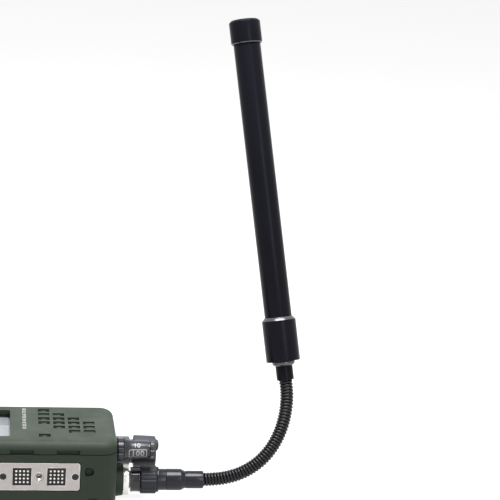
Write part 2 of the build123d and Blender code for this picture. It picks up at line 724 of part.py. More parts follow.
def make_antenna_socket():
    """Nickel-plated antenna jack: tail in the wall, face ring, threaded barrel."""
    start = TOP_X + BOSS_LENGTH
    ring_end = start + SOCKET_RING_LENGTH
    socket = disc_x(start, ring_end, SOCKET_RING_RADIUS, ANTENNA_Y, ANTENNA_Z)
    socket += disc_x(INNER_TOP_X - SOCKET_TAIL_LENGTH, start, SOCKET_TAIL_RADIUS, ANTENNA_Y, ANTENNA_Z)
    return socket + disc_x(ring_end, TOP_X + SOCKET_BARREL_END, SOCKET_BARREL_RADIUS, ANTENNA_Y, ANTENNA_Z)


def make_antenna_plug():
    """Plug that screws over the antenna jack's barrel."""
    start = TOP_X + PLUG_START
    end = start + PLUG_LENGTH
    plug = disc_x(start, end, PLUG_RADIUS, ANTENNA_Y, ANTENNA_Z)
    plug = chamfer(plug.edges().sort_by(Axis.X)[0], SLIP)
    bore_end = TOP_X + SOCKET_BARREL_END + REST_GAP
    return plug - disc_x(start - 1, bore_end, SOCKET_BARREL_RADIUS + RUNNING, ANTENNA_Y, ANTENNA_Z)


def make_collar():
    """Ribbed coupling collar, free to turn on the neck's stub."""
    start = TOP_X + COLLAR_START
    end = start + COLLAR_LENGTH
    collar = disc_x(start, end, COLLAR_RADIUS, ANTENNA_Y, ANTENNA_Z)
    collar = chamfer(collar.edges().group_by(Axis.X)[0] + collar.edges().group_by(Axis.X)[-1], COLLAR_GROOVE)
    for number in range(COLLAR_FLATS):
        angle = 2 * pi * number / COLLAR_FLATS
        y = ANTENNA_Y + COLLAR_RADIUS * cos(angle)
        z = ANTENNA_Z + COLLAR_RADIUS * sin(angle)
        collar -= disc_x(start - 1, end + 1, COLLAR_GROOVE, y, z)
    return collar - disc_x(start - 1, end + 1, STUB_RADIUS + RUNNING, ANTENNA_Y, ANTENNA_Z)


def make_neck_base():
    """Stub, flange and stepped barrel that the gooseneck grows from."""
    at = (ANTENNA_Y, ANTENNA_Z)
    flange_x = TOP_X + NECK_FLANGE_START
    flange_end = flange_x + NECK_FLANGE_LENGTH
    barrel_end = TOP_X + BARREL_END
    taper_end = TOP_X + TAPER_END
    end = TOP_X + FIRST_PIVOT - LINK_GAP
    base = disc_x(TOP_X + PLUG_START + PLUG_LENGTH, flange_x, STUB_RADIUS, *at)
    base += disc_x(flange_x, flange_end, NECK_FLANGE_RADIUS, *at)
    base += disc_x(flange_end, barrel_end, BARREL_RADIUS, *at)
    base += cone_x(barrel_end, taper_end, BARREL_RADIUS, NARROW_RADIUS, *at)
    base += disc_x(taper_end, end, NARROW_RADIUS, *at)
    seat = Pos(TOP_X + FIRST_PIVOT, *at) * Sphere(BALL_RADIUS + RUNNING)
    return base - seat


def neck_places():
    """Pivot position and direction of each link, in the plane that the neck bends in."""
    lean = radians(NECK_LEAN)
    along = TOP_X + FIRST_PIVOT
    up = 0.0
    angle = 0.0
    places = []
    for bend in NECK_BENDS:
        angle += bend
        turn = radians(angle)
        origin = (along, ANTENNA_Y + up * sin(lean), ANTENNA_Z + up * cos(lean))
        direction = (cos(turn), sin(turn) * sin(lean), sin(turn) * cos(lean))
        places.append((origin, direction))
        along += LINK_PITCH * cos(turn)
        up += LINK_PITCH * sin(turn)
    return places


def at_place(place, shape):
    """Stands a shape made along +Z from its pivot at its place on the neck."""
    origin, direction = place
    lean = radians(NECK_LEAN)
    hinge = (0, -cos(lean), sin(lean))
    return Plane(origin=origin, x_dir=hinge, z_dir=direction).location * shape


def rod(z0, z1, radius):
    """Round bar along local Z."""
    return Pos(0, 0, (z0 + z1) / 2) * Cylinder(radius, z1 - z0)


def make_link():
    """One gooseneck link: ball below, seat for the next ball above."""
    link = rod(LINK_GAP, LINK_PITCH - LINK_GAP, LINK_RADIUS) + Sphere(BALL_RADIUS)
    return link - Pos(0, 0, LINK_PITCH) * Sphere(BALL_RADIUS + RUNNING)


def make_ferrule():
    """Last stretch of neck with the ferrule and the stud that carries the antenna."""
    ferrule = rod(LINK_GAP, FERRULE_START, LINK_RADIUS) + Sphere(BALL_RADIUS)
    ferrule += rod(FERRULE_START, FERRULE_RING_START, FERRULE_RADIUS)
    ring = rod(FERRULE_RING_START, SLEEVE_START, FERRULE_RING_RADIUS)
    ferrule += chamfer(ring.edges().group_by(Axis.Z)[0], FERRULE_RING_CHAMFER)
    return ferrule + rod(SLEEVE_START, STUD_END, STUD_RADIUS)


def make_sleeve():
    """Base sleeve: screws on the stud below, holds the tube above."""
    end = SLEEVE_START + SLEEVE_LENGTH
    sleeve = rod(SLEEVE_START, end, SLEEVE_RADIUS)
    sleeve = chamfer(sleeve.edges().sort_by(Axis.Z)[0], SLEEVE_CHAMFER)
    tip_radius = TUBE_RADIUS + RUNNING + SLIP
    shoulder = Cone(SLEEVE_RADIUS, tip_radius, SLEEVE_SHOULDER)
    sleeve += Pos(0, 0, end + SLEEVE_SHOULDER / 2) * shoulder
    sleeve -= rod(SLEEVE_START - 1, TUBE_START, STUD_RADIUS + RUNNING)
    return sleeve - rod(TUBE_START, end + SLEEVE_SHOULDER + 1, TUBE_RADIUS + RUNNING)


def make_tube():
    """Weatherproof tube over the radiator."""
    end = CAP_START + CAP_LENGTH - CAP_TOP_WALL
    return rod(TUBE_START, end, TUBE_RADIUS) - rod(TUBE_START - 1, end + 1, TUBE_RADIUS - TUBE_WALL)


def make_cap():
    """End cap over the top of the tube."""
    end = CAP_START + CAP_LENGTH
    cap = rod(CAP_START, end, CAP_RADIUS)
    cap = chamfer(cap.edges().group_by(Axis.Z)[-1], CAP_CHAMFER)
    cap = chamfer(cap.edges().group_by(Axis.Z)[0], CAP_CHAMFER / 2)
    return cap - rod(CAP_START - 1, end - CAP_TOP_WALL, TUBE_RADIUS + RUNNING)


def make_antenna():
    """Plug, collar, gooseneck and the antenna on its end."""
    keep("antenna_socket", make_antenna_socket())
    keep("antenna_plug", make_antenna_plug())
    keep("coupling_collar", make_collar())
    keep("neck_base", make_neck_base())
    places = neck_places()
    for number in range(NECK_LINKS):
        keep(f"neck_link_{number + 1}", at_place(places[number], make_link()))
    last = places[-1]
    keep("neck_ferrule", at_place(last, make_ferrule()))
    keep("antenna_base", at_place(last, make_sleeve()))
    keep("antenna_tube", at_place(last, make_tube()))
    keep("antenna_cap", at_place(last, make_cap()))
    keep("antenna_rod", at_place(last, rod(STUD_END, ROD_END, ROD_RADIUS)))


def ring_of_bars(x0, x1, ring_radius, bar_radius, count, y, z):
    """Bars along X spaced evenly round an axis, as cutters for flutes."""
    bars = []
    for number in range(count):
        angle = 2 * pi * (number + 0.5) / count
        bars.append(disc_x(x0, x1, bar_radius, y + ring_radius * cos(angle), z + ring_radius * sin(angle)))
    return bars


def make_selector():
    """Rotary switch, its fluted ring and its labelled knob."""
    at = (SELECTOR_Y, SELECTOR_Z)
    ring_x = TOP_X + RING_START
    ring_end = ring_x + RING_LENGTH
    knob_x = TOP_X + KNOB_START
    knob_end = TOP_X + KNOB_END
    shaft_end = knob_end - KNOB_CROWN_WALL
    switch = disc_x(INNER_TOP_X - SWITCH_LENGTH, INNER_TOP_X, SWITCH_RADIUS, *at)
    switch += disc_x(INNER_TOP_X, ring_end, BUSHING_RADIUS, *at)
    switch += disc_x(ring_end, shaft_end, SHAFT_RADIUS, *at)
    keep("selector_switch", switch)
    ring = disc_x(ring_x, ring_end, RING_RADIUS, *at)
    flute_ring = RING_RADIUS + FLUTE_OFFSET
    for bar in ring_of_bars(ring_x - 1, ring_end + 1, flute_ring, FLUTE_RADIUS, RING_FLUTES, *at):
        ring -= bar
    keep("selector_ring", ring - disc_x(ring_x - 1, ring_end + 1, BUSHING_RADIUS + RUNNING, *at))
    groove_x = TOP_X + KNOB_GROOVE_START
    groove_end = groove_x + KNOB_GROOVE_LENGTH
    waist_x = knob_x + KNOB_FLARE_LENGTH / 2
    flare_end = knob_x + KNOB_FLARE_LENGTH
    knob = cone_x(knob_x, waist_x, KNOB_FLARE_RADIUS, KNOB_WAIST_RADIUS, *at)
    knob += cone_x(waist_x, flare_end, KNOB_WAIST_RADIUS, KNOB_RADIUS, *at)
    knob += disc_x(flare_end, groove_x, KNOB_RADIUS, *at)
    knob += disc_x(groove_x, groove_end, KNOB_RADIUS - KNOB_GROOVE_DEPTH, *at)
    crown = disc_x(groove_end, knob_end, KNOB_CROWN_RADIUS, *at)
    ridge_ring = KNOB_CROWN_RADIUS + FLUTE_OFFSET
    for bar in ring_of_bars(groove_end - 1, knob_end + 1, ridge_ring, FLUTE_RADIUS, KNOB_RIDGES, *at):
        crown -= bar
    knob += crown
    keep("selector_knob", knob - disc_x(knob_x - 1, shaft_end + REST_GAP, SHAFT_RADIUS + RUNNING, *at))


def make_audio():
    """Audio connector and the dust cap pushed over it."""
    at = (AUDIO_Y, AUDIO_Z)
    end = TOP_X + AUDIO_LENGTH
    connector = disc_x(INNER_TOP_X - AUDIO_BODY_LENGTH, TOP_X, AUDIO_BODY_RADIUS, *at)
    connector += disc_x(TOP_X, TOP_X + AUDIO_FLANGE_LENGTH, AUDIO_FLANGE_RADIUS, *at)
    shell_end = TOP_X + AUDIO_SHELL_END
    connector += disc_x(TOP_X + AUDIO_FLANGE_LENGTH, shell_end, AUDIO_SHELL_RADIUS, *at)
    connector += disc_x(shell_end, end, AUDIO_RADIUS, *at)
    connector -= disc_x(end - AUDIO_SOCKET_DEPTH, end + 1, AUDIO_SOCKET_RADIUS, *at)
    keep("audio_connector", connector)
    cap_x = TOP_X + DUST_CAP_START
    cap_end = TOP_X + DUST_CAP_END
    cap = cone_x(cap_x, cap_end, DUST_CAP_RADIUS, DUST_CAP_RADIUS - DUST_CAP_TAPER, *at)
    dome_tip = DUST_CAP_DOME_RADIUS - DUST_CAP_DOME_SLOPE
    dome_end = cap_end + DUST_CAP_DOME
    cap += cone_x(cap_end, dome_end, DUST_CAP_DOME_RADIUS, dome_tip, AUDIO_Y, AUDIO_Z + DUST_CAP_DOME_RISE)
    cap -= disc_x(cap_x - 1, end + REST_GAP, AUDIO_RADIUS + RUNNING, *at)
    keep("audio_dust_cap", cap)


def make_battery():
    """Battery pack: case, top plate, cells, terminals and two latches."""
    x0 = -TOP_X
    x1 = SPLIT_X - BATTERY_GAP
    plate_x = x1 - WALL
    case = rounded_case(x0, x1, x1, EDGE_RADIUS)
    case -= block(plate_x, x1 + 1, -SIDE_Y - 1, SIDE_Y + 1, -1, BODY_DEPTH + 1)
    room_x0 = x0 + WALL
    case -= block(room_x0, plate_x + 1, -INNER_Y, INNER_Y, WALL, FRONT_INNER_Z)
    end_slab = block(plate_x, x1 + 1, -SIDE_Y - 1, SIDE_Y + 1, -1, BODY_DEPTH + 1)
    top = rounded_case(x0, x1, x1, EDGE_RADIUS) & end_slab
    for side, name in ((-1, "battery_latch_right"), (1, "battery_latch_left")):
        case -= latch_hole(side, plate_x)
        top -= tongue_slot(side, plate_x, x1)
        keep(name, make_latch(side, plate_x))
    terminals = []
    for number in (-1, 0, 1):
        terminals.append(disc_x(plate_x - 1, x1, TERMINAL_RADIUS, number * TERMINAL_PITCH, TERMINAL_Z))
        top -= disc_x(plate_x - 1, x1 + 1, TERMINAL_RADIUS + RUNNING, number * TERMINAL_PITCH, TERMINAL_Z)
    keep("battery_case", case)
    keep("battery_top", top)
    keep("battery_terminals", Compound(children=terminals))
    cells = []
    for row in range(CELL_ROWS):
        for column in range(CELL_COLUMNS):
            y = (column - (CELL_COLUMNS - 1) / 2) * CELL_PITCH_Y
            z = WALL + CELL_RADIUS + row * CELL_PITCH_Z
            cells.append(disc_x(room_x0, room_x0 + CELL_LENGTH, CELL_RADIUS, y, z))
    keep("battery_cells", Compound(children=cells))


def latch_span(plate_x):
    """X of a latch button's two ends."""
    return plate_x - LATCH_SETBACK - LATCH_LENGTH, plate_x - LATCH_SETBACK


def latch_hole(side, plate_x):
    """Opening in the battery's side wall for a latch button."""
    x0, x1 = latch_span(plate_x)
    y0, y1 = sorted((side * (INNER_Y - 1), side * (SIDE_Y + 1)))
    tall = LATCH_HEIGHT / 2 + SLIP
    return side_box(x0 - SLIP, x1 + SLIP, y0, y1, LATCH_Z - tall, LATCH_Z + tall, KEY_CORNER)


def tongue_slot(side, x0, x1):
    """Slot in the battery's top plate for a latch tongue."""
    near = TONGUE_OUTER_Y - TONGUE_THICKNESS - LATCH_TRAVEL - SLIP
    far = TONGUE_OUTER_Y + HOOK_REACH + SLIP
    y0, y1 = sorted((side * near, side * far))
    tall = TONGUE_HEIGHT / 2 + SLIP
    return block(x0 - 1, x1 + 1, y0, y1, LATCH_Z - tall, LATCH_Z + tall)


def make_latch(side, plate_x):
    """Sprung latch: button in the battery's side, tongue and hook behind the radio's end wall."""
    x0, x1 = latch_span(plate_x)
    inner = INNER_Y - REST_GAP
    tongue_y = TONGUE_OUTER_Y - TONGUE_THICKNESS
    half = LATCH_HEIGHT / 2
    tall = TONGUE_HEIGHT / 2
    y0, y1 = sorted((side * tongue_y, side * (SIDE_Y + LATCH_PROUD)))
    latch = side_box(x0, x1, y0, y1, LATCH_Z - half, LATCH_Z + half, KEY_CORNER)
    y0, y1 = sorted((side * tongue_y, side * inner))
    flange_half = half + LATCH_FLANGE
    latch += block(x0 - LATCH_FLANGE, x1 + LATCH_FLANGE, y0, y1, LATCH_Z - flange_half, LATCH_Z + flange_half)
    hook_x = SPLIT_X + WALL + REST_GAP
    y0, y1 = sorted((side * tongue_y, side * TONGUE_OUTER_Y))
    latch += block(x1, hook_x + HOOK_LENGTH, y0, y1, LATCH_Z - tall, LATCH_Z + tall)
    y0, y1 = sorted((side * tongue_y, side * (TONGUE_OUTER_Y + HOOK_REACH)))
    return latch + block(hook_x, hook_x + HOOK_LENGTH, y0, y1, LATCH_Z - tall, LATCH_Z + tall)


def main():
    """Makes every node and writes one STEP file for each."""
    keep("front_shell", make_front_shell())
    keep("rear_shell", make_rear_shell())
    keep("shell_seal", make_shell_seal())
    keep("case_screws", make_case_screws())
    make_display()
    make_keypad()
    make_sound()
    make_electronics()
    make_side_connector()
    keep("ptt_button", make_side_button(PTT_LENGTH, PTT_HEIGHT, TOP_X - PTT_SETBACK))
    for name, x in zip(("volume_down_button", "volume_up_button"), volume_xs()):
        keep(name, make_side_button(VOLUME_LENGTH, VOLUME_HEIGHT, x))
    make_antenna()
    make_selector()
    make_audio()
    make_battery()
    os.makedirs("parts", exist_ok=True)
    for name, shape in LAID.items():
        export_step(shape, f"parts/{name}.step")
    print(f"{len(LAID)} nodes written")


main()
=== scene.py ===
# %% [markdown]
# The imported model is the fixed frame: a handheld field radio lying on its back,
# with a selector knob, a capped audio socket and a gooseneck antenna on its top end.
# Everything that follows is placed from that frame, so nothing has to be fitted by eye.

# %% Load the frame
import json
import math

import bmesh
import bpy
from mathutils import Matrix, Vector


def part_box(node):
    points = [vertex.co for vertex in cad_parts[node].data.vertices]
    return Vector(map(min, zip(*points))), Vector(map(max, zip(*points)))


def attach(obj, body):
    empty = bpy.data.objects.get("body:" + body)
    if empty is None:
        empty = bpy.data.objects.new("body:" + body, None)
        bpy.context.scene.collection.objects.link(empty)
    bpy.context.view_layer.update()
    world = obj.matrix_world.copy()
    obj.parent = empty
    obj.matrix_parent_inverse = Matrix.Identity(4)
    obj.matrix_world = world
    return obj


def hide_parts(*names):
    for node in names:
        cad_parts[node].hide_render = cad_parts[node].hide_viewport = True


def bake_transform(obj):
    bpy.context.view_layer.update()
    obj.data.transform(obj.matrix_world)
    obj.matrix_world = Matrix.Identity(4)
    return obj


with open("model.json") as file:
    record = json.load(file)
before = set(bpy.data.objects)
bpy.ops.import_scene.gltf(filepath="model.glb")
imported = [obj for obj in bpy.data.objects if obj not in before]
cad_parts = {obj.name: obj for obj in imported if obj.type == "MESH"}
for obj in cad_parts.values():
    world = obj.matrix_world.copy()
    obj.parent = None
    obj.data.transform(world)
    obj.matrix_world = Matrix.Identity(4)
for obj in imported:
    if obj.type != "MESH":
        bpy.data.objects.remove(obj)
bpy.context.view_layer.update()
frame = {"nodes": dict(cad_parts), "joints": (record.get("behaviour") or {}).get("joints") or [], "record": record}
NODES = frame["nodes"]
JOINTS = {joint["name"]: joint for joint in frame["joints"]}

# %% [markdown]
# A standard view transform shows a colour as it is written. The camera looks a little down at
# the radio's right side with a long lens, turned slightly to the right and rolled, so that the
# radio runs out of the picture on the left while the antenna stands in its middle.

# %% Camera
scene = bpy.context.scene
scene.view_settings.view_transform = "Standard"
MM = 0.001


def aim_camera(name, place, yaw, pitch, roll, lens):
    """A camera at a place in millimetres, turned by three angles in degrees."""
    yaw, pitch, roll = math.radians(yaw), math.radians(pitch), math.radians(roll)
    forward = Vector((math.sin(yaw) * math.cos(pitch), math.cos(yaw) * math.cos(pitch), -math.sin(pitch)))
    level = Vector((math.cos(yaw), -math.sin(yaw), 0))
    upright = level.cross(forward)
    right = math.cos(roll) * level + math.sin(roll) * upright
    up = -math.sin(roll) * level + math.cos(roll) * upright
    data = bpy.data.cameras.new(name)
    data.lens = lens
    data.sensor_width = 36
    data.clip_end = 20
    camera = bpy.data.objects.new(name, data)
    scene.collection.objects.link(camera)
    turned_frame = Matrix((right, up, -forward)).transposed().to_4x4()
    camera.matrix_world = Matrix.Translation(Vector(place) * MM) @ turned_frame
    return camera


scene.camera = aim_camera("studio_camera", (38.55, -1173.92, 486.59), 8.081, 14.294, 3.345, 132.34)
print("camera", [round(v, 3) for v in scene.camera.location])

# %% [markdown]
# The studio is a pale floor under a white sky, with one large soft lamp overhead and a narrow
# upright one at the front right, which draws the soft stripe down the antenna. The sky is shown
# white to the camera and to mirrors, and lights the object less than that, so the lamps can
# still shape it. Sky, floor and finishes are all built by one helper, which adds a node and
# either sets or links each of its inputs.

# %% Sky and lamps
SKY_LIGHT = 0.15
WHITE = (1, 1, 1, 1)


def add_node(tree, kind, inputs, **settings):
    """Add a shader node, whose inputs are constants or sockets to link."""
    node = tree.nodes.new("ShaderNode" + kind)
    for name, value in settings.items():
        setattr(node, name, value)
    for name, value in inputs.items():
        if isinstance(value, bpy.types.NodeSocket):
            tree.links.new(value, node.inputs[name])
        else:
            node.inputs[name].default_value = value
    return node


def math_of(tree, operation, first, second):
    """One sum of two values."""
    return add_node(tree, "Math", {0: first, 1: second}, operation=operation).outputs[0]


def ranged(tree, value, low, high, to_low=0.0, to_high=1.0):
    """Stretch a value's range and clamp it."""
    limits = {"From Min": low, "From Max": high, "To Min": to_low, "To Max": to_high}
    return add_node(tree, "MapRange", {"Value": value, **limits}).outputs["Result"]


def sky(level):
    """A white world that lights the object at a lower level than it shows."""
    world = bpy.data.worlds.new("studio_sky")
    scene.world = world
    world.use_nodes = True
    tree = world.node_tree
    path = add_node(tree, "LightPath", {}).outputs
    seen = math_of(tree, "MAXIMUM", path["Is Camera Ray"], path["Is Glossy Ray"])
    seen = math_of(tree, "MAXIMUM", seen, path["Is Transmission Ray"])
    background = tree.nodes["Background"]
    background.inputs["Color"].default_value = WHITE
    tree.links.new(ranged(tree, seen, 0.0, 1.0, level, 1.0), background.inputs["Strength"])


def softbox(name, place, target, size, power):
    """A rectangular lamp at one point in metres, turned towards another."""
    data = bpy.data.lights.new(name, "AREA")
    data.shape = "RECTANGLE"
    data.size, data.size_y = size
    data.energy = power
    lamp = bpy.data.objects.new(name, data)
    scene.collection.objects.link(lamp)
    lamp.location = place
    aim = Vector(target) - Vector(place)
    lamp.rotation_euler = aim.to_track_quat("-Z", "Y").to_euler()
    return lamp


sky(SKY_LIGHT)
softbox("top_softbox", (0.08, -0.2, 1.65), (0.08, 0.0, 0.05), (1.2, 1.0), 50.0)
softbox("front_softbox", (0.75, -1.5, 0.75), (0.1, 0.0, 0.15), (0.16, 1.1), 4.0)

# %% [markdown]
# Small helpers keep the cells short. Pieces are drawn in millimetres in a bmesh, and only
# when one is finished is it scaled to metres, given its finish and set on its moving body.
# Each object then sits untransformed at the origin with its place in its mesh.

# %% Helpers that finish a piece
def piece_from(name, mesh, body=None, stands_for=()):
    """Link a finished mesh, set it on its body and hide the nodes it stands for."""
    piece = bpy.data.objects.new(name, mesh)
    scene.collection.objects.link(piece)
    if body:
        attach(piece, body)
    if stands_for:
        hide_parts(*stands_for)
    return piece


def keep(name, bm, material, body=None, stands_for=(), sharp=32, accent=None):
    """Turn a bmesh drawn in millimetres into a finished piece."""
    bmesh.ops.scale(bm, vec=(MM, MM, MM), verts=bm.verts)
    mesh = bpy.data.meshes.new(name)
    bm.to_mesh(mesh)
    bm.free()
    mesh.shade_smooth()
    mesh.set_sharp_from_angle(angle=math.radians(sharp))
    print(name, len(mesh.polygons), "faces")
    for used in (material, accent) if accent else (material,):
        mesh.materials.append(used)
    return piece_from(name, mesh, body, stands_for)


def seat(bm, origin, along, side):
    """Stand a bmesh drawn along +Z on a point, along a direction, with its +X towards a side."""
    along, side = Vector(along).normalized(), Vector(side).normalized()
    turn = Matrix((side, along.cross(side), along)).transposed().to_4x4()
    bmesh.ops.transform(bm, matrix=Matrix.Translation(Vector(origin)) @ turn, verts=bm.verts)
    return bm


def measure(node):
    """The low corner, high corner and middle of a node, in millimetres."""
    low, high = (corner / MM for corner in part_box(node))
    return low, high, (low + high) / 2


def lift(bm, place):
    """Move a bmesh to a place in millimetres."""
    bmesh.ops.translate(bm, vec=place, verts=bm.verts)
    return bm


def bevel(bm, geom, width, segments, affect="EDGES"):
    """Round edges or corners, with the settings that every piece shares."""
    bmesh.ops.bevel(bm, geom=geom, offset=width, offset_type="OFFSET", segments=segments,
                    profile=0.5, affect=affect, material=-1, clamp_overlap=True)


def soften(bm, width, angle=28):
    """Round every edge that is sharper than an angle."""
    sharp = [e for e in bm.edges if e.is_manifold and e.calc_face_angle(0) > math.radians(angle)]
    bevel(bm, sharp, width, 2)
    return bm


def add_turned(bm, profile, steps=72):
    """Spin a profile of (place along the axis, radius) pairs about +Z, closed at its poles."""
    points = [bm.verts.new((radius, 0, along)) for along, radius in profile]
    edges = [bm.edges.new(pair) for pair in zip(points, points[1:])]
    bmesh.ops.spin(bm, geom=points + edges, cent=(0, 0, 0), axis=(0, 0, 1),
                   angle=2 * math.pi, steps=steps, use_merge=True)
    bmesh.ops.remove_doubles(bm, verts=bm.verts, dist=1e-4)
    bmesh.ops.recalc_face_normals(bm, faces=bm.faces)


def turned(profile, rim=0.25, steps=72):
    """A lathe-turned piece with every sharp rim broken."""
    bm = bmesh.new()
    add_turned(bm, profile, steps)
    return soften(bm, rim) if rim else bm


def spun(name, profile, place, material, body, stands_for=(), rim=0.22, steps=96):
    """Turn a profile, put it in place with a function and keep it."""
    keep(name, place(turned(profile, rim, steps)), material, body, stands_for)


def block(size, corner, edge):
    """A block from z = 0 up, with round upright corners and a softer rim on top."""
    bm = bmesh.new()
    bmesh.ops.create_cube(bm, size=1)
    bmesh.ops.scale(bm, vec=size, verts=bm.verts)
    lift(bm, (0, 0, size[2] / 2))
    upright = [e for e in bm.edges if abs(e.verts[0].co.z - e.verts[1].co.z) > 1e-4]
    bevel(bm, upright, corner, 4)
    bevel(bm, [e for e in bm.edges if min(v.co.z for v in e.verts) > size[2] - 1e-4], edge, 3)
    return bm


# %% [markdown]
# Edge wear with the side plate's painted edge highlight, grain, colour drift, dust and painted
# shade in crevices each show on more than one finish, so each is a shader group with named sockets that is built
# once. A group only puts out colours, masks and heights. The shader itself stays in each material, with its
# constants on its own sockets.

# %% Start a shader group
def new_group(name, output, **inputs):
    """A shader group whose sockets are floats, or colours where named so, and its two ends."""
    tree = bpy.data.node_groups.new(name, "ShaderNodeTree")
    for label, value in inputs.items():
        kind = "NodeSocketColor" if label == "Color" else "NodeSocketFloat"
        tree.interface.new_socket(label, in_out="INPUT", socket_type=kind).default_value = value
    kind = "NodeSocketColor" if output == "Color" else "NodeSocketFloat"
    tree.interface.new_socket(output, in_out="OUTPUT", socket_type=kind)
    given = tree.nodes.new("NodeGroupInput").outputs
    return tree, given, tree.nodes.new("NodeGroupOutput").inputs[output]


def object_noise(tree, scale, detail=3.0):
    """Noise on object coordinates, its scale taken from a socket."""
    where = add_node(tree, "TexCoord", {}).outputs["Object"]
    return add_node(tree, "TexNoise", {"Vector": where, "Scale": scale, "Detail": detail}).outputs["Fac"]


# %% [markdown]
# Handled edges lose their coat first. The bevel node gives the normal that a rounded edge
# would have, and where that differs from the real normal there is an edge. Noise breaks the
# line up, because a real edge is rubbed in some places and not in others. On the side plate the
# same mask lays a near-white colour on the rims, which is a painted highlight, not wear.

# %% Edge wear and painted edge highlight group
def make_edge_wear():
    """Mask of rubbed edges, which on the side plate carries a painted highlight."""
    tree, given, mask_out = new_group("edge_wear_and_highlight", "Mask", Radius=0.0006, Amount=0.5, Scale=90.0)
    rounded = add_node(tree, "Bevel", {"Radius": given["Radius"]}, samples=4).outputs["Normal"]
    surface = add_node(tree, "NewGeometry", {}).outputs["Normal"]
    dot = add_node(tree, "VectorMath", {0: rounded, 1: surface}, operation="DOT_PRODUCT").outputs["Value"]
    edge = ranged(tree, dot, 0.985, 0.86)
    patch = ranged(tree, object_noise(tree, given["Scale"]), 0.36, 0.62)
    mask = math_of(tree, "MULTIPLY", edge, patch)
    tree.links.new(math_of(tree, "MULTIPLY", mask, given["Amount"]), mask_out)
    return tree


EDGE_WEAR_AND_HIGHLIGHT = make_edge_wear()
print("group", EDGE_WEAR_AND_HIGHLIGHT.name, [s.name for s in EDGE_WEAR_AND_HIGHLIGHT.interface.items_tree])

# %% [markdown]
# Powder coat, cast metal and moulded rubber all have a fine pebble to them. Two noises of
# different size make it, one for the pebbles and one for a slow waviness under them. Colour
# drift makes a painted face a little lighter and darker over a few centimetres.

# %% Grain and colour drift groups
def make_grain():
    """Height of a fine pebbled surface."""
    tree, given, height_out = new_group("fine_grain", "Height", Scale=2600.0, Waviness=300.0)
    pebbles = object_noise(tree, given["Scale"], 2.0)
    waves = object_noise(tree, given["Waviness"], 1.0)
    mixed = add_node(tree, "Mix", {"Factor": 0.25, "A": pebbles, "B": waves})
    tree.links.new(mixed.outputs["Result"], height_out)
    return tree


def make_drift():
    """A colour that drifts lighter and darker."""
    tree, given, colour_out = new_group("colour_drift", "Color", Color=(0.5, 0.5, 0.5, 1), Amount=0.1,
                                        Scale=40.0)
    noise = object_noise(tree, given["Scale"], 4.0)
    swing = ranged(tree, noise, 0.25, 0.75, -1.0, 1.0)
    step = math_of(tree, "MULTIPLY", swing, given["Amount"])
    level = math_of(tree, "ADD", step, 1.0)
    scaled = add_node(tree, "VectorMath", {0: given["Color"], "Scale": level}, operation="SCALE")
    tree.links.new(scaled.outputs[0], colour_out)
    return tree


GRAIN = make_grain()
DRIFT = make_drift()
print("groups", GRAIN.name, DRIFT.name)

# %% [markdown]
# A little dust settles on faces that look up. The mask is the upward part of the normal,
# broken up by a soft noise, and it is kept weak, because the radio is nearly new.

# %% Dust group
def make_dust():
    """Mask of dust on upward faces."""
    tree, given, mask_out = new_group("settled_dust", "Mask", Amount=0.05, Scale=60.0)
    surface = add_node(tree, "NewGeometry", {}).outputs["Normal"]
    split = add_node(tree, "SeparateXYZ", {0: surface})
    upward = ranged(tree, split.outputs["Z"], 0.3, 1.0)
    patch = ranged(tree, object_noise(tree, given["Scale"], 5.0), 0.35, 0.7)
    mask = math_of(tree, "MULTIPLY", upward, patch)
    tree.links.new(math_of(tree, "MULTIPLY", mask, given["Amount"]), mask_out)
    return tree


DUST = make_dust()
print("group", DUST.name)

# %% [markdown]
# Grooves, slots and the gap between the two shells are painted darker than the open faces, as
# painted shade for the light that reaches them less. Ambient occlusion measures how closed in a
# point is, and the mask from it darkens the base colour there.

# %% Crevice shade group
def make_crevice():
    """Mask of closed-in places, where shade is painted into the colour."""
    tree, given, mask_out = new_group("crevice_painted_shade", "Mask", Amount=0.8, Reach=0.003)
    shade = add_node(tree, "AmbientOcclusion", {"Distance": given["Reach"]}, samples=6)
    closed = ranged(tree, shade.outputs["AO"], 0.85, 0.40)
    tree.links.new(math_of(tree, "MULTIPLY", closed, given["Amount"]), mask_out)
    return tree


CREVICE_SHADE = make_crevice()
print("group", CREVICE_SHADE.name)

# %% [markdown]
# One recipe covers the opaque finishes: a drifting base colour, a colour on the edges that is
# wear on most finishes and a painted highlight on the side plate, a trace of dust, painted shade in
# closed-in places, a roughness that varies a little, and a bump from the grain. Every number of
# a finish is passed in, so paint, anodised metal, rubber and plastic each get their own.

# %% Recipe for an opaque finish
DUST_COLOUR = (0.45, 0.43, 0.40)
# Near black, the colour of painted shade in closed-in places.
PAINTED_SHADE_COLOUR = (0.004, 0.004, 0.004)


def placed_group(material, tree, **values):
    """Put a shader group in a material with its own values."""
    return add_node(material.node_tree, "Group", values, node_tree=tree).outputs[0]


def mix_colour(tree, mask, under, over):
    """Lay a plain colour over another by a mask."""
    return add_node(tree, "Mix", {0: mask, 6: under, 7: (*over, 1)}, data_type="RGBA").outputs[2]


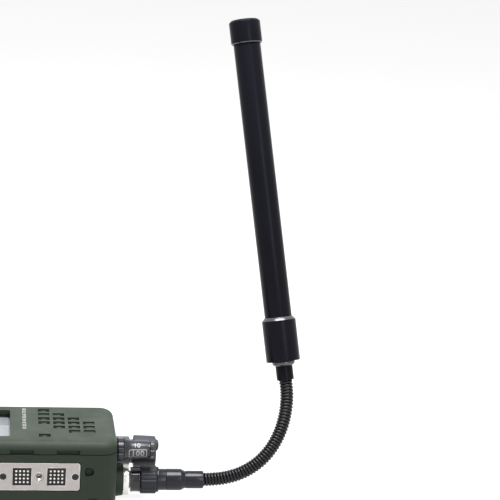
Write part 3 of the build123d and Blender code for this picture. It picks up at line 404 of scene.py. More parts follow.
def finish(name, colour, rough, metallic=0.0, drift=0.08, drift_scale=40.0, grain=2600.0,
           depth=0.00002, wear_and_highlight_colour=None, wear_and_highlight_amount=0.5, radius=0.0006, dust=0.0, specular=0.5,
           rough_swing=0.06, painted_shade=0.0, reach=0.003):
    """An opaque finish from its own numbers."""
    material = bpy.data.materials.new(name)
    material.use_nodes = True
    tree = material.node_tree
    shader = tree.nodes["Principled BSDF"]
    shader.inputs["Metallic"].default_value = metallic
    shader.inputs["Specular IOR Level"].default_value = specular
    shade = placed_group(material, DRIFT, Color=(*colour, 1), Amount=drift, Scale=drift_scale)
    if wear_and_highlight_colour:
        shade = mix_colour(tree, placed_group(material, EDGE_WEAR_AND_HIGHLIGHT, Radius=radius, Amount=wear_and_highlight_amount), shade, wear_and_highlight_colour)
    if dust:
        shade = mix_colour(tree, placed_group(material, DUST, Amount=dust), shade, DUST_COLOUR)
    # Painted shade: closed-in places are darkened towards near black.
    if painted_shade:
        closed = placed_group(material, CREVICE_SHADE, Amount=painted_shade, Reach=reach)
        shade = mix_colour(tree, closed, shade, PAINTED_SHADE_COLOUR)
    tree.links.new(shade, shader.inputs["Base Color"])
    pebble = placed_group(material, GRAIN, Scale=grain, Waviness=grain / 9)
    gloss = ranged(tree, pebble, 0.3, 0.7, rough - rough_swing, rough + rough_swing)
    tree.links.new(gloss, shader.inputs["Roughness"])
    bump = add_node(tree, "Bump", {"Strength": 1.0, "Distance": depth, "Height": pebble})
    tree.links.new(bump.outputs["Normal"], shader.inputs["Normal"])
    return material


# %% [markdown]
# The housing is a light alloy casting under olive green powder coat. The battery has the same
# coat, a touch darker from handling. Where the coat is rubbed through on edges and around the
# parting line it turns paler.

# %% Painted and cast finishes
# Through its crevice setting, PAINT darkens slots, recesses and the shell gap with painted shade.
PAINT = {"drift": 0.10, "grain": 1900.0, "specular": 0.16, "depth": 0.00005, "wear_and_highlight_colour": (0.10, 0.13, 0.10),
         "dust": 0.05, "painted_shade": 0.9}
HOUSING = finish("olive_powder_coat", (0.040, 0.054, 0.040), 0.55, wear_and_highlight_amount=0.25, radius=0.0005, **PAINT)
BATTERY = finish("olive_powder_coat_battery", (0.037, 0.050, 0.037), 0.58, wear_and_highlight_amount=0.35, **PAINT)
# The side plate's near-white edge colour is a painted highlight along its rims and hole edges.
PLATE = finish("sanded_plate", (0.43, 0.40, 0.388), 0.44, metallic=0.75, drift=0.07, drift_scale=500.0,
               grain=2400.0, depth=0.00004, wear_and_highlight_colour=(1.0, 0.98, 0.96), wear_and_highlight_amount=1.0, radius=0.0010)
SEAL = finish("black_silicone", (0.012, 0.013, 0.012), 0.62, grain=1500.0, dust=0.03, specular=0.2)
print("painted finishes ready")

# %% [markdown]
# The turned parts are black anodised aluminium. The antenna tube and its cap are satin, the
# plug is glossier, and the coupling collar is blasted to a matt dark grey. Nickel plating is
# nearly a mirror, so it only needs a faint grain.

# %% Metal finishes
BLACK_METAL = finish("black_anodised", (0.007, 0.0075, 0.015), 0.22, drift=0.15, grain=3200.0, specular=0.35,
                     depth=0.000006, wear_and_highlight_colour=(0.16, 0.16, 0.17), wear_and_highlight_amount=0.3, radius=0.0003)
GLOSS_BLACK = finish("gloss_black_plating", (0.011, 0.011, 0.019), 0.16, drift=0.15, grain=3000.0,
                     depth=0.000004, wear_and_highlight_colour=(0.2, 0.2, 0.21), wear_and_highlight_amount=0.3, radius=0.0003, dust=0.01)
# The collar's grooves are darkened with painted shade.
COLLAR_GREY = finish("blasted_dark_grey", (0.022, 0.0235, 0.032), 0.48, drift=0.12, specular=0.3,
                     depth=0.00003, wear_and_highlight_colour=(0.30, 0.30, 0.31), wear_and_highlight_amount=0.7, radius=0.00045, dust=0.02, painted_shade=0.5,
                     reach=0.0012)
# The flutes of the ring and the knob's crown are darkened with painted shade.
KNOB_BLACK = finish("knob_black", (0.010, 0.011, 0.020), 0.30, drift=0.12, grain=2800.0, specular=0.55,
                    depth=0.00001, wear_and_highlight_colour=(0.30, 0.30, 0.32), wear_and_highlight_amount=0.4, radius=0.0003, dust=0.03, painted_shade=0.9,
                    reach=0.0012)
TUBE_BLACK = finish("satin_black_tube", (0.0052, 0.0054, 0.0095), 0.30, drift=0.2, grain=3000.0,
                    depth=0.000006, specular=0.10)
ANTENNA_BLACK = finish("antenna_black", (0.0055, 0.0056, 0.010), 0.30, drift=0.2, grain=3000.0,
                       depth=0.000006, specular=0.10)
POLISHED_BLACK = finish("polished_chamfer", (0.10, 0.10, 0.115), 0.22, metallic=0.7, drift=0.1, grain=3000.0,
                        depth=0.000004, specular=0.8)
# The gaps between the coil's turns are darkened with painted shade.
NECK_BLACK = finish("blackened_coil", (0.008, 0.008, 0.010), 0.24, drift=0.2, drift_scale=300.0, specular=0.3,
                    grain=3000.0, depth=0.000006, painted_shade=0.9, reach=0.0010)
NICKEL = finish("bright_nickel", (0.92, 0.90, 0.87), 0.22, metallic=0.55, drift=0.03, grain=3000.0,
                depth=0.000003, rough_swing=0.04)
SOCKET_BLACK = finish("satin_socket_shell", (0.07, 0.07, 0.08), 0.36, drift=0.08, grain=2600.0, specular=0.8,
                      depth=0.00001, dust=0.04)
# The screws' cross recesses are darkened with painted shade.
SCREW_BLACK = finish("black_screw", (0.014, 0.014, 0.016), 0.34, drift=0.15, grain=2600.0, depth=0.00001,
                     wear_and_highlight_colour=(0.20, 0.20, 0.19), wear_and_highlight_amount=0.3, radius=0.0002, dust=0.02, painted_shade=0.9, reach=0.001)
INSERT_STEEL = finish("bare_steel_insert", (0.42, 0.40, 0.38), 0.30, metallic=1.0, drift=0.15,
                      drift_scale=300.0, grain=2000.0, depth=0.00001)
GOLD_PADS = finish("pale_gold_contacts", (1.0, 0.97, 0.90), 0.3, metallic=0.15, drift=0.03, grain=2000.0,
                   depth=0.000004)
BRASS = finish("brass_rod", (0.62, 0.45, 0.18), 0.28, metallic=1.0, drift=0.1, depth=0.000006)
TIN = finish("tinned_shield", (0.60, 0.61, 0.62), 0.32, metallic=1.0, drift=0.06, depth=0.00001)
print("metal finishes ready")

# %% [markdown]
# The remaining finishes are moulded ones: contact blocks, keys, side buttons, the audio dust
# cap with its olive end, the loudspeaker behind its slots, the circuit boards and the cells.

# %% Moulded finishes
CONTACT_PLASTIC = finish("contact_block_plastic", (0.016, 0.013, 0.014), 0.40, grain=1800.0, specular=0.3,
                         depth=0.00001, wear_and_highlight_colour=(0.09, 0.09, 0.09), wear_and_highlight_amount=0.5, dust=0.01)
KEY_RUBBER = finish("key_rubber", (0.030, 0.032, 0.030), 0.55, grain=1700.0, depth=0.00003,
                    wear_and_highlight_colour=(0.07, 0.07, 0.07), wear_and_highlight_amount=0.4, dust=0.05)
SIDE_RUBBER = finish("side_button_rubber", (0.026, 0.034, 0.026), 0.58, grain=1700.0, depth=0.00003,
                     wear_and_highlight_colour=(0.07, 0.08, 0.07), wear_and_highlight_amount=0.4, dust=0.05)
CAP_RUBBER = finish("dust_cap_rubber", (0.030, 0.032, 0.046), 0.50, grain=1900.0, depth=0.00002,
                    wear_and_highlight_colour=(0.12, 0.12, 0.13), wear_and_highlight_amount=0.5, dust=0.05)
OLIVE_RUBBER = finish("dust_cap_end", (0.026, 0.036, 0.027), 0.52, grain=1900.0, depth=0.00002, dust=0.05)
BLACK_PLASTIC = finish("black_plastic", (0.018, 0.018, 0.019), 0.42, grain=1900.0, depth=0.00001, dust=0.02)
SPEAKER_CLOTH = finish("speaker_cloth", (0.004, 0.004, 0.004), 0.75, specular=0.05, grain=1100.0,
                       depth=0.00005)
BOARD = finish("circuit_board", (0.018, 0.085, 0.038), 0.34, drift=0.2, drift_scale=260.0, grain=900.0,
               depth=0.00001)
CELL_WRAP = finish("cell_wrap", (0.05, 0.14, 0.33), 0.30, drift=0.05, depth=0.000005)
WHITE_PRINT = finish("white_print", (0.50, 0.50, 0.49), 0.55, drift=0.08, drift_scale=900.0, grain=2500.0,
                     depth=0.00001)
print("moulded finishes ready")

# %% [markdown]
# The display needs two finishes of its own. Its window is clear glass, with plain metallic and
# transmission values. The panel behind it is a grey reflective one with a fine grid of cells,
# made from two sets of thin bands in object coordinates.

# %% Window and panel finishes
def clear_window():
    """Clear glass with a faint smear in its roughness."""
    material = bpy.data.materials.new("clear_window")
    material.use_nodes = True
    shader = material.node_tree.nodes["Principled BSDF"]
    shader.inputs["Base Color"].default_value = (0.96, 0.98, 0.97, 1)
    shader.inputs["Transmission Weight"].default_value = 1.0
    shader.inputs["IOR"].default_value = 1.45
    smear = placed_group(material, GRAIN, Scale=120.0, Waviness=30.0)
    film = ranged(material.node_tree, smear, 0.35, 0.7, 0.01, 0.07)
    material.node_tree.links.new(film, shader.inputs["Roughness"])
    return material


def panel_cells():
    """A grey panel crossed by two sets of thin darker lines."""
    material = finish("display_panel", (0.26, 0.28, 0.31), 0.32, drift=0.03, grain=1500.0,
                      depth=0.000002)
    tree = material.node_tree
    shader = tree.nodes["Principled BSDF"]
    under = shader.inputs["Base Color"].links[0].from_socket
    where = add_node(tree, "TexCoord", {}).outputs["Object"]
    for direction in ("X", "Y"):
        bands = add_node(tree, "TexWave", {"Vector": where, "Scale": 700.0}, bands_direction=direction)
        line = ranged(tree, bands.outputs["Fac"], 0.8, 1.0, 0.0, 0.22)
        under = mix_colour(tree, line, under, (0.19, 0.205, 0.23))
    tree.links.new(under, shader.inputs["Base Color"])
    return material


WINDOW = clear_window()
PANEL = panel_cells()
PANEL_EDGE = finish("panel_edge", (0.66, 0.68, 0.72), 0.35, drift=0.03, depth=0.000002)
# Plain near black for the two strips along the display module's long edges.
STRIP_BLACK = finish("display_strip_finish", (0.012, 0.013, 0.013), 0.30, drift=0.1, depth=0.000002)
print("display finishes ready")

# %% [markdown]
# Shells, boards and other nodes whose modelled shape is right are kept. Each takes the finish
# of its material slot, so the slot names of the record are the key to this table.

# %% Finish the nodes that stay
SLOT_FINISH = {
    "housing_green": HOUSING, "battery_green": BATTERY, "seal_rubber": SEAL, "screw_black": SCREW_BLACK,
    "plate_metal": PLATE, "contact_plastic": CONTACT_PLASTIC, "gold_pads": GOLD_PADS,
    "insert_steel": INSERT_STEEL, "nickel": NICKEL, "black_metal": BLACK_METAL, "neck_steel": NECK_BLACK,
    "black_tube": TUBE_BLACK, "black_plastic": BLACK_PLASTIC, "cap_rubber": CAP_RUBBER,
    "key_rubber": KEY_RUBBER, "window_glass": WINDOW, "display": PANEL, "board_green": BOARD,
    "shield_tin": TIN, "speaker_black": SPEAKER_CLOTH, "brass_rod": BRASS, "cell_wrap": CELL_WRAP}
NODE_SLOT = {part["node"]: part["material_slot"] for part in frame["record"]["subparts"]}
for node, slot in NODE_SLOT.items():
    for material_slot in NODES[node].material_slots:
        material_slot.material = SLOT_FINISH[slot]
print("finished", len(NODE_SLOT), "kept nodes")

# %% [markdown]
# The gooseneck is one closely wound steel coil. Each joint of the frame gets a length of it,
# from the middle of one link to the middle of the next. The wire is a small ring of points
# swept by a spin that climbs as it turns. It is wound straight, because that is simple, and is
# then laid along the arc of its joint. A whole number of turns in each length keeps the wire
# unbroken from one length to the next.

# %% Measure the neck from its joints
NECK = [JOINTS[f"neck_bend_{n}"] for n in range(1, 9)]
PIVOTS = [Vector(joint["pos_m"]) / MM for joint in NECK]
HINGE = Vector(NECK[0]["axis"]).normalized()
BENDS = [math.radians(-joint["range_deg"][0]) for joint in NECK]
HALF = (PIVOTS[1] - PIVOTS[0]).length / 2
RUNS = [Vector((1, 0, 0))]
for bend in BENDS:
    RUNS.append(Matrix.Rotation(bend, 3, HINGE) @ RUNS[-1])
TOP_TO_NECK = 62.0
TOP_END = PIVOTS[0].x - TOP_TO_NECK
print("half a link", round(HALF, 3), "bends", [round(math.degrees(b), 1) for b in BENDS])

# %% [markdown]
# The wire is 2.1 mm thick at a winding radius of 3.7 mm, with six turns in each 13 mm. A
# solid core just inside the turns keeps light from passing between them. The core is spun
# from a line with many points, so that it can follow the arc as well.

# %% Wind and bend one length of the neck
TURNS = 6
PITCH = 2 * HALF / TURNS
WIRE = 1.07
WINDING = 3.68
print("pitch of the coil", round(PITCH, 3))


def wound_length(low, high, steps=22):
    """A straight length of coil and core between two places along its pivot's axis."""
    bm = bmesh.new()
    count = round((high - low) / PITCH)
    ring = bmesh.ops.create_circle(bm, radius=WIRE, segments=8, cap_ends=False)["verts"]
    bmesh.ops.rotate(bm, verts=ring, matrix=Matrix.Rotation(math.pi / 2, 3, "X"))
    bmesh.ops.translate(bm, verts=ring, vec=(WINDING, 0, low))
    edges = list({e for v in ring for e in v.link_edges})
    bmesh.ops.spin(bm, geom=ring + edges, cent=(0, 0, 0), axis=(0, 0, 1), dvec=(0, 0, PITCH / steps),
                   angle=2 * math.pi * count, steps=steps * count, use_merge=False)
    bmesh.ops.holes_fill(bm, edges=[e for e in bm.edges if e.is_boundary], sides=0)
    bmesh.ops.recalc_face_normals(bm, faces=bm.faces)
    rungs = max(3, round((high - low) / 1.2))
    line = [(low + (high - low) * k / rungs, WINDING - 0.1) for k in range(rungs + 1)]
    core = bmesh.new()
    add_turned(core, [(low, 0)] + line + [(high, 0)], steps=24)
    spare = bpy.data.meshes.new("spare_core")
    core.to_mesh(spare)
    core.free()
    bm.from_mesh(spare)
    bpy.data.meshes.remove(spare)
    return bm


def lay_on_arc(bm, number):
    """Bend a straight length round its joint, tangent to both runs."""
    pivot, run, bend = PIVOTS[number], RUNS[number], BENDS[number]
    inward = HINGE.cross(run)
    radius = HALF / math.tan(bend / 2)
    begin = pivot - HALF * run
    for vert in bm.verts:
        share = min((vert.co.z + HALF) / (2 * HALF), 1.0)
        turn = share * bend
        extra = max(vert.co.z - HALF, 0.0)
        heading = math.cos(turn) * run + math.sin(turn) * inward
        normal = HINGE.cross(heading)
        centre = begin + radius * (math.sin(turn) * run + (1 - math.cos(turn)) * inward) + extra * heading
        vert.co = centre + vert.co.x * normal + vert.co.y * HINGE
    return bm


# %% [markdown]
# The first length starts just inside the mouth of the neck's barrel, and the last one runs
# straight on into the ferrule.

# %% Make the eight lengths of the neck
for number in range(8):
    low = -PITCH if number == 0 else -HALF
    high = HALF + 2 * PITCH if number == 7 else HALF
    coil = lay_on_arc(wound_length(low, high), number)
    stands_for = [f"neck_link_{number + 1}"] if number < 7 else []
    piece = keep(f"neck_coil_{number + 1}", coil, NECK_BLACK, stands_for=stands_for, sharp=60)
    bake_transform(piece)

# %% [markdown]
# The coupling on the antenna socket is four turned parts on one line: the nickel socket with
# its ring, the glossy plug, the grooved coupling collar that screws them together, and the
# barrel that holds the coil. Each is spun from its profile, and its rims are broken, which
# gives the thin highlights that turned metal has.

# %% Turned parts of the antenna coupling
AXIS_Y, AXIS_Z = PIVOTS[0].y, PIVOTS[0].z
COUPLING = (TOP_END, AXIS_Y, AXIS_Z)
ALONG_X, TO_FRONT = (1, 0, 0), (0, -1, 0)


def on_coupling(bm):
    """Stand a turned part on the antenna connector's axis."""
    return seat(bm, COUPLING, ALONG_X, TO_FRONT)


socket_profile = [(4.0, 0), (4.0, 9.3), (5.65, 9.3), (5.65, 10.5), (9.4, 10.5), (9.4, 7.2), (9.9, 6.9),
                  (9.9, 5.9), (10.6, 5.9), (10.6, 5.5), (15.5, 5.5), (15.5, 0)]
spun("antenna_socket_turned", socket_profile, on_coupling, NICKEL, "radio", ["antenna_socket"],
     rim=0.3)
plug_profile = [(10.9, 5.58), (10.9, 8.4), (11.9, 8.4), (12.1, 8.25), (16.0, 8.25), (16.2, 8.4), (17.1, 8.4),
                (17.1, 5.0), (29.0, 5.0), (29.0, 0), (16.2, 0), (16.2, 5.58), (10.9, 5.58)]
spun("antenna_plug_turned", plug_profile, on_coupling, GLOSS_BLACK, "neck_mount",
     ["antenna_plug"])

# %% [markdown]
# The coupling collar has twenty shallow grooves for the fingers. They are pressed into the
# spun collar by drawing in the points that lie near each groove's line, deepest in its middle.

# %% Grooved collar
def groove(bm, count, depth, width, low, high, least, phase=0.0):
    """Draw in the outer points near evenly spaced lines along the axis."""
    for vert in bm.verts:
        radius = math.hypot(vert.co.x, vert.co.y)
        if radius < least or not low <= vert.co.z <= high:
            continue
        angle = (math.atan2(vert.co.y, vert.co.x) + phase) * count / (2 * math.pi)
        offset = abs(angle - round(angle)) * 2 * math.pi * radius / count
        if offset < width:
            new = radius - depth * math.cos(offset / width * math.pi / 2)
            vert.co.x *= new / radius
            vert.co.y *= new / radius
    return bm


collar_profile = [(17.6, 6.2), (17.6, 9.0), (18.1, 9.55), (27.9, 9.55), (28.4, 9.0), (28.4, 6.2), (17.6, 6.2)]
collar = groove(turned(collar_profile, rim=0.18, steps=240), count=20, depth=0.42, width=0.62,
                low=17.9, high=28.1, least=9.2)
keep("coupling_collar_turned", on_coupling(collar), COLLAR_GREY, "collar", ["coupling_collar"])
barrel_profile = [(28.7, 0), (28.7, 8.55), (29.9, 8.55), (29.9, 7.30), (34.6, 7.30), (34.75, 7.05),
                  (35.05, 7.05), (35.2, 7.36), (45.1, 7.36), (47.9, 5.85), (48.9, 5.85), (49.1, 6.05),
                  (60.2, 6.05), (60.6, 5.65), (60.6, 4.95), (58.6, 4.95), (58.6, 0)]
spun("neck_barrel_turned", barrel_profile, on_coupling, BLACK_METAL, "neck_mount",
     ["neck_base"])

# %% [markdown]
# The antenna stands on the last joint of the neck: a ferrule and a ring, a stepped sleeve, a
# long tube and a cap. They share one axis, so they are spun along it in the same way. The
# sleeve's sloped shoulder and the ring under it are the places that catch the light.

# %% Turned parts of the antenna
ANTENNA_FOOT, ANTENNA_RUN = PIVOTS[7], RUNS[8]


def on_antenna(bm):
    """Stand a turned part on the antenna's axis, measured from the last pivot."""
    return seat(bm, ANTENNA_FOOT, ANTENNA_RUN, HINGE)


ferrule_profile = [(10.8, 4.9), (10.8, 5.7), (11.1, 5.9), (20.8, 5.9), (20.8, 0), (12.6, 0), (12.6, 4.9),
                   (10.8, 4.9)]
spun("neck_ferrule_turned", ferrule_profile, on_antenna, ANTENNA_BLACK, "antenna",
     ["neck_ferrule"], rim=0.12)
ring_below = [(20.7, 0), (20.7, 6.6), (21.9, 7.8), (23.3, 7.8), (23.6, 7.5), (23.6, 0)]
spun("neck_ferrule_ring", ring_below, on_antenna, POLISHED_BLACK, "antenna", rim=0.12)


def sloping(face, low, high):
    """Whether a face of a turned part, still on +Z, is a chamfer between two places."""
    centre = face.calc_center_median()
    return low <= centre.z <= high and 0.25 < abs(face.normal.z) < 0.96 and centre.xy.length > 8


def with_bright_chamfers(profile, low, high):
    """A turned part whose chamfers between two places take a second finish."""
    bm = turned(profile, rim=0.12, steps=120)
    bm.normal_update()
    for face in bm.faces:
        face.material_index = 1 if sloping(face, low, high) else 0
    return on_antenna(bm)


sleeve_profile = [(23.7, 0), (23.7, 11.3), (24.1, 11.64), (52.0, 11.64), (54.2, 9.7), (54.2, 9.38),
                  (34.5, 9.38), (34.5, 0)]
keep("antenna_sleeve_turned", with_bright_chamfers(sleeve_profile, 50.0, 54.5), ANTENNA_BLACK,
     "antenna", ["antenna_base"], accent=POLISHED_BLACK)
tube_profile = [(34.6, 8.03), (34.6, 9.33), (256.9, 9.33), (256.9, 8.03), (34.6, 8.03)]
spun("antenna_tube_drawn", tube_profile, on_antenna, TUBE_BLACK, "antenna",
     ["antenna_tube"], rim=0.1, steps=120)
cap_profile = [(243.4, 9.36), (243.4, 10.2), (244.1, 10.76), (258.5, 10.76), (259.9, 9.4), (259.9, 8.3),
               (259.6, 8.0), (259.6, 0), (257.0, 0), (257.0, 9.36), (243.4, 9.36)]
keep("antenna_cap_turned", with_bright_chamfers(cap_profile, 243.0, 244.4), ANTENNA_BLACK,
     "antenna", ["antenna_cap"], accent=POLISHED_BLACK)

# %% [markdown]
# The selector is two controls on one axis. The ring next to the housing has twelve deep
# flutes. The knob has a flared foot that narrows to a straight barrel, a groove, and a crown
# with rounded ridges. The foot's curve is also needed to lay the print on it, so it is a
# small function of its own.

# %% Selector ring and knob
SELECTOR = Vector(JOINTS["function_turn"]["pos_m"]) / MM
SELECTOR.x = TOP_END
KNOB_WAIST = 5.9


def knob_radius(along):
    """Radius of the knob's foot and barrel at a place along its axis."""
    narrowing = max(0.0, (12.1 - along) / 6.7)
    return KNOB_WAIST + 2.0 * narrowing ** 1.9


ring_profile = [(1.1, 2.3), (1.1, 7.7), (1.4, 8.05), (4.9, 8.05), (5.2, 7.7), (5.2, 2.3), (1.1, 2.3)]
ring = groove(turned(ring_profile, rim=0.1, steps=240), count=12, depth=0.75, width=0.72,
              low=1.05, high=5.25, least=7.3)
keep("selector_ring_fluted", seat(ring, SELECTOR, ALONG_X, TO_FRONT), KNOB_BLACK,
     "mode_ring", ["selector_ring"])
foot = [(5.4 + 0.61 * k, knob_radius(5.4 + 0.61 * k)) for k in range(12)]
knob_profile = [(5.4, 2.05), (5.4, 7.6)] + foot + [
    (21.3, KNOB_WAIST), (21.5, 5.2), (22.7, 5.2), (22.8, 6.1), (23.1, 6.5), (25.5, 6.5), (26.0, 6.0),
    (26.0, 0), (23.0, 0), (23.0, 2.05), (5.4, 2.05)]
knob = groove(turned(knob_profile, rim=0.08, steps=240), count=12, depth=0.42, width=0.62,
              low=22.75, high=25.8, least=5.9, phase=math.radians(15))
keep("selector_knob_turned", seat(knob, SELECTOR, ALONG_X, TO_FRONT), KNOB_BLACK,
     "function_knob", ["selector_knob"])

# %% [markdown]
# The knob carries plain white numbers. Text is made a flat mesh first, cut into narrow strips
# across its height, and then wrapped on the round surface, so every strip follows the curve.
# The box round the second number is a ring of faces from two nested outlines.

# %% Print that wraps on the knob
def flat_text(text, height, thickness=0.05, spacing=1.0, weight=0.012):
    """Text as a bmesh in millimetres, centred, a little thick."""
    curve = bpy.data.curves.new("print_" + text.replace(" ", "_"), "FONT")
    curve.body = text
    curve.size = height / 0.70
    curve.align_x, curve.align_y = "CENTER", "CENTER"
    curve.space_character = spacing
    curve.extrude = thickness / 2
    curve.offset = weight * height
    curve.resolution_u = 4
    lettering = bpy.data.objects.new(curve.name, curve)
    mesh = bpy.data.meshes.new_from_object(lettering)
    bm = bmesh.new()
    bm.from_mesh(mesh)
    bpy.data.objects.remove(lettering)
    bpy.data.meshes.remove(mesh)
    bpy.data.curves.remove(curve)
    bmesh.ops.remove_doubles(bm, verts=bm.verts, dist=1e-4)
    return bm


def rounded_frame(width, height, line, corner, thickness=0.05):
    """A flat frame with round corners, made by insetting a rounded plate."""
    bm = bmesh.new()
    bmesh.ops.create_grid(bm, x_segments=1, y_segments=1, size=0.5)
    bmesh.ops.scale(bm, vec=(width, height, 1), verts=bm.verts)
    bevel(bm, list(bm.verts), corner, 5, affect="VERTICES")
    inner = list(bm.faces)
    bmesh.ops.inset_region(bm, faces=inner, thickness=line, use_even_offset=True, use_boundary=True)
    bmesh.ops.delete(bm, geom=inner, context="FACES")
    raised = bmesh.ops.extrude_face_region(bm, geom=list(bm.faces))["geom"]
    top = [g for g in raised if isinstance(g, bmesh.types.BMVert)]
    bmesh.ops.translate(bm, vec=(0, 0, thickness), verts=top)
    bmesh.ops.recalc_face_normals(bm, faces=bm.faces)
    return bm


STRIP_UP, STRIP_ALONG = 0.35, 0.6
PRINT_LIFT = 0.045


def wrap_on_knob(bm, along, climb, radius_at):
    """Wrap a flat bmesh round the knob: x runs along the axis, y climbs from the front."""
    for axis, strip in ((1, STRIP_UP), (0, STRIP_ALONG)):
        count = int(max(abs(v.co[axis]) for v in bm.verts) / strip)
        normal = Vector((1 - axis, axis, 0))
        for k in range(-count, count + 1):
            bmesh.ops.bisect_plane(bm, geom=bm.verts[:] + bm.edges[:] + bm.faces[:],
                                   plane_co=normal * k * strip, plane_no=normal)
    for vert in bm.verts:
        place = along + vert.co.x
        radius = radius_at(place) + vert.co.z + PRINT_LIFT
        angle = math.radians(climb) + vert.co.y / radius_at(place)
        vert.co = (SELECTOR.x + place, SELECTOR.y - radius * math.cos(angle),
                   SELECTOR.z + radius * math.sin(angle))
    return bm


for name, flat, along, climb, radius_at in (
        ("knob_number_upper", flat_text("10", 3.2, weight=0.02), 13.9, 46, knob_radius),
        ("knob_number_box", rounded_frame(12.2, 6.1, 0.55, 1.0), 14.5, -9, knob_radius),
        ("knob_number_lower", flat_text("100", 3.8, spacing=1.1, weight=0.045), 14.5, -9, knob_radius),
        ("knob_index", block((1.9, 0.9, 0.05), 0.2, 0.01), 24.1, -30, lambda place: 6.5)):
    keep(name, wrap_on_knob(flat, along, climb, radius_at), WHITE_PRINT, "function_knob")

# %% [markdown]
# The audio socket is a dark satin metal shell with a rubber dust cap over its end. The cap is a
# slightly tapered cup. High on its end sits a small olive button, spun as a piece of its own.

# %% Audio socket and dust cap
AUDIO = measure("audio_dust_cap")[2]
AUDIO.x = TOP_END
BUTTON_UP = Vector((0, 0, 4.7))


def on_audio(bm):
    """Stand a turned part on the audio socket's axis."""
    return seat(bm, AUDIO, ALONG_X, TO_FRONT)


shell_profile = [(0, 0), (0, 10.6), (2.0, 10.6), (2.3, 10.3), (10.6, 10.3), (11.2, 9.7), (11.2, 8.4),
                 (11.6, 8.2), (20.0, 8.2), (20.0, 6.8), (17.0, 6.8), (17.0, 0)]
spun("audio_socket_turned", shell_profile, on_audio, SOCKET_BLACK, "radio",
     ["audio_connector"], rim=0.2)
cup_profile = [(14.1, 8.26), (14.1, 10.9), (14.5, 11.2), (28.4, 10.7), (29.2, 9.9), (29.2, 7.2), (28.9, 7.0),
               (28.9, 0), (20.3, 0), (20.3, 8.26), (14.1, 8.26)]
spun("audio_dust_cap_cup", cup_profile, on_audio, CAP_RUBBER, "dust_cap",
     ["audio_dust_cap"], rim=0.25)
button_profile = [(28.7, 0), (28.7, 4.0), (29.7, 4.0), (30.6, 3.6), (31.1, 2.8), (31.35, 1.6), (31.4, 0)]
button = seat(turned(button_profile, rim=0.0, steps=48), AUDIO + BUTTON_UP, ALONG_X, TO_FRONT)
keep("audio_dust_cap_end", button, OLIVE_RUBBER, "dust_cap")

# %% [markdown]
# The side plate holds two black contact blocks. Each contact is a small domed rivet head, so
# it is the top of a sphere, flattened, and set where the record's pads are: four by four.

# %% Contact domes
PAD_PITCH = 2.54
DOME_RADIUS, DOME_SUNK = 0.70, 0.22


def contact_domes(node):
    """A flattened dome on every pad of a block."""
    middle = measure(node)[2]
    front = measure("contact_pads")[0].y
    bm = bmesh.new()
    for column in range(4):
        for row in range(4):
            x, z = middle.x + (column - 1.5) * PAD_PITCH, middle.z + (row - 1.5) * PAD_PITCH
            dome = bmesh.ops.create_uvsphere(bm, u_segments=16, v_segments=8, radius=DOME_RADIUS)["verts"]
            bmesh.ops.scale(bm, vec=(1, 0.28, 1), verts=dome)
            bmesh.ops.translate(bm, vec=(x, front + DOME_SUNK, z), verts=dome)
    return bm


def in_side_plate(bm, node):
    """Stand a piece on the inner face of a node in the side plate, facing out."""
    _, high, middle = measure(node)
    return seat(bm, (middle.x, high.y, middle.z), TO_FRONT, ALONG_X)


def contact_block(node):
    """A block with round corners, facing out of the side plate."""
    low, high, _ = measure(node)
    size = high - low
    return in_side_plate(block((size.x, size.z, size.y), 1.1, 0.2), node)


for side, stands_for in (("rear", ["contact_pads"]), ("front", [])):
    node = f"contact_block_{side}"
    keep(f"contact_domes_{side}", contact_domes(node), GOLD_PADS, "radio", stands_for)
    keep(f"{node}_rounded", contact_block(node), CONTACT_PLASTIC, "radio", [node])

# %% [markdown]
# The screws have a domed head with a cross recess. The head is spun, and two straight bars
# are cut out of it, one after the other, which leaves a cross. The cut is a boolean modifier
# on two throwaway objects, because a cross-shaped hole in a dome is awkward to reach with the
# bmesh operators alone.

# %% Screw heads
def cut_away(bm, tool):
    """Cut one bmesh out of another."""
    pair = []
    for name, source in (("cut_body", bm), ("cut_tool", tool)):
        mesh = bpy.data.meshes.new(name)
        source.to_mesh(mesh)
        source.free()
        pair.append(bpy.data.objects.new(name, mesh))
        scene.collection.objects.link(pair[-1])
    cutter = pair[0].modifiers.new("cut", "BOOLEAN")
    cutter.operation, cutter.solver, cutter.object = "DIFFERENCE", "EXACT", pair[1]
    result = bpy.data.meshes.new_from_object(pair[0].evaluated_get(bpy.context.evaluated_depsgraph_get()))
    out = bmesh.new()
    out.from_mesh(result)
    for thing in pair:
        mesh = thing.data
        bpy.data.objects.remove(thing)
        bpy.data.meshes.remove(mesh)
    bpy.data.meshes.remove(result)
    return out


def screw_head(radius, height, dome=0.35):
    """A screw head along +Z from z = 0, with a cross recess in its top."""
    top = [(height - dome, radius), (height - dome * 0.35, radius * 0.8), (height, radius * 0.4), (height, 0)]
    head = turned([(0, 0), (0, radius)] + top, rim=0.12, steps=48)
    for turn in (0, math.pi / 2):
        bar = bmesh.new()
        bmesh.ops.create_cube(bar, size=1)
        bmesh.ops.scale(bar, vec=(radius * 1.25, radius * 0.27, 2.0), verts=bar.verts)
        bmesh.ops.rotate(bar, verts=bar.verts, matrix=Matrix.Rotation(turn, 3, "Z"))
        bmesh.ops.translate(bar, verts=bar.verts, vec=(0, 0, height + 0.15))
        head = cut_away(head, bar)
    print("screw head", len(head.faces), "faces")
    return head


def shank(bm, radius, length):
    """Add a plain shank below a head."""
    add_turned(bm, [(-length, 0), (-length, radius), (0.1, radius), (0.1, 0)], steps=24)
    return bm


# %% [markdown]
# Two of these screws hold the side plate. Six longer ones hold the two shells together from
# the back. Each is turned by its own angle, because screws never line up.

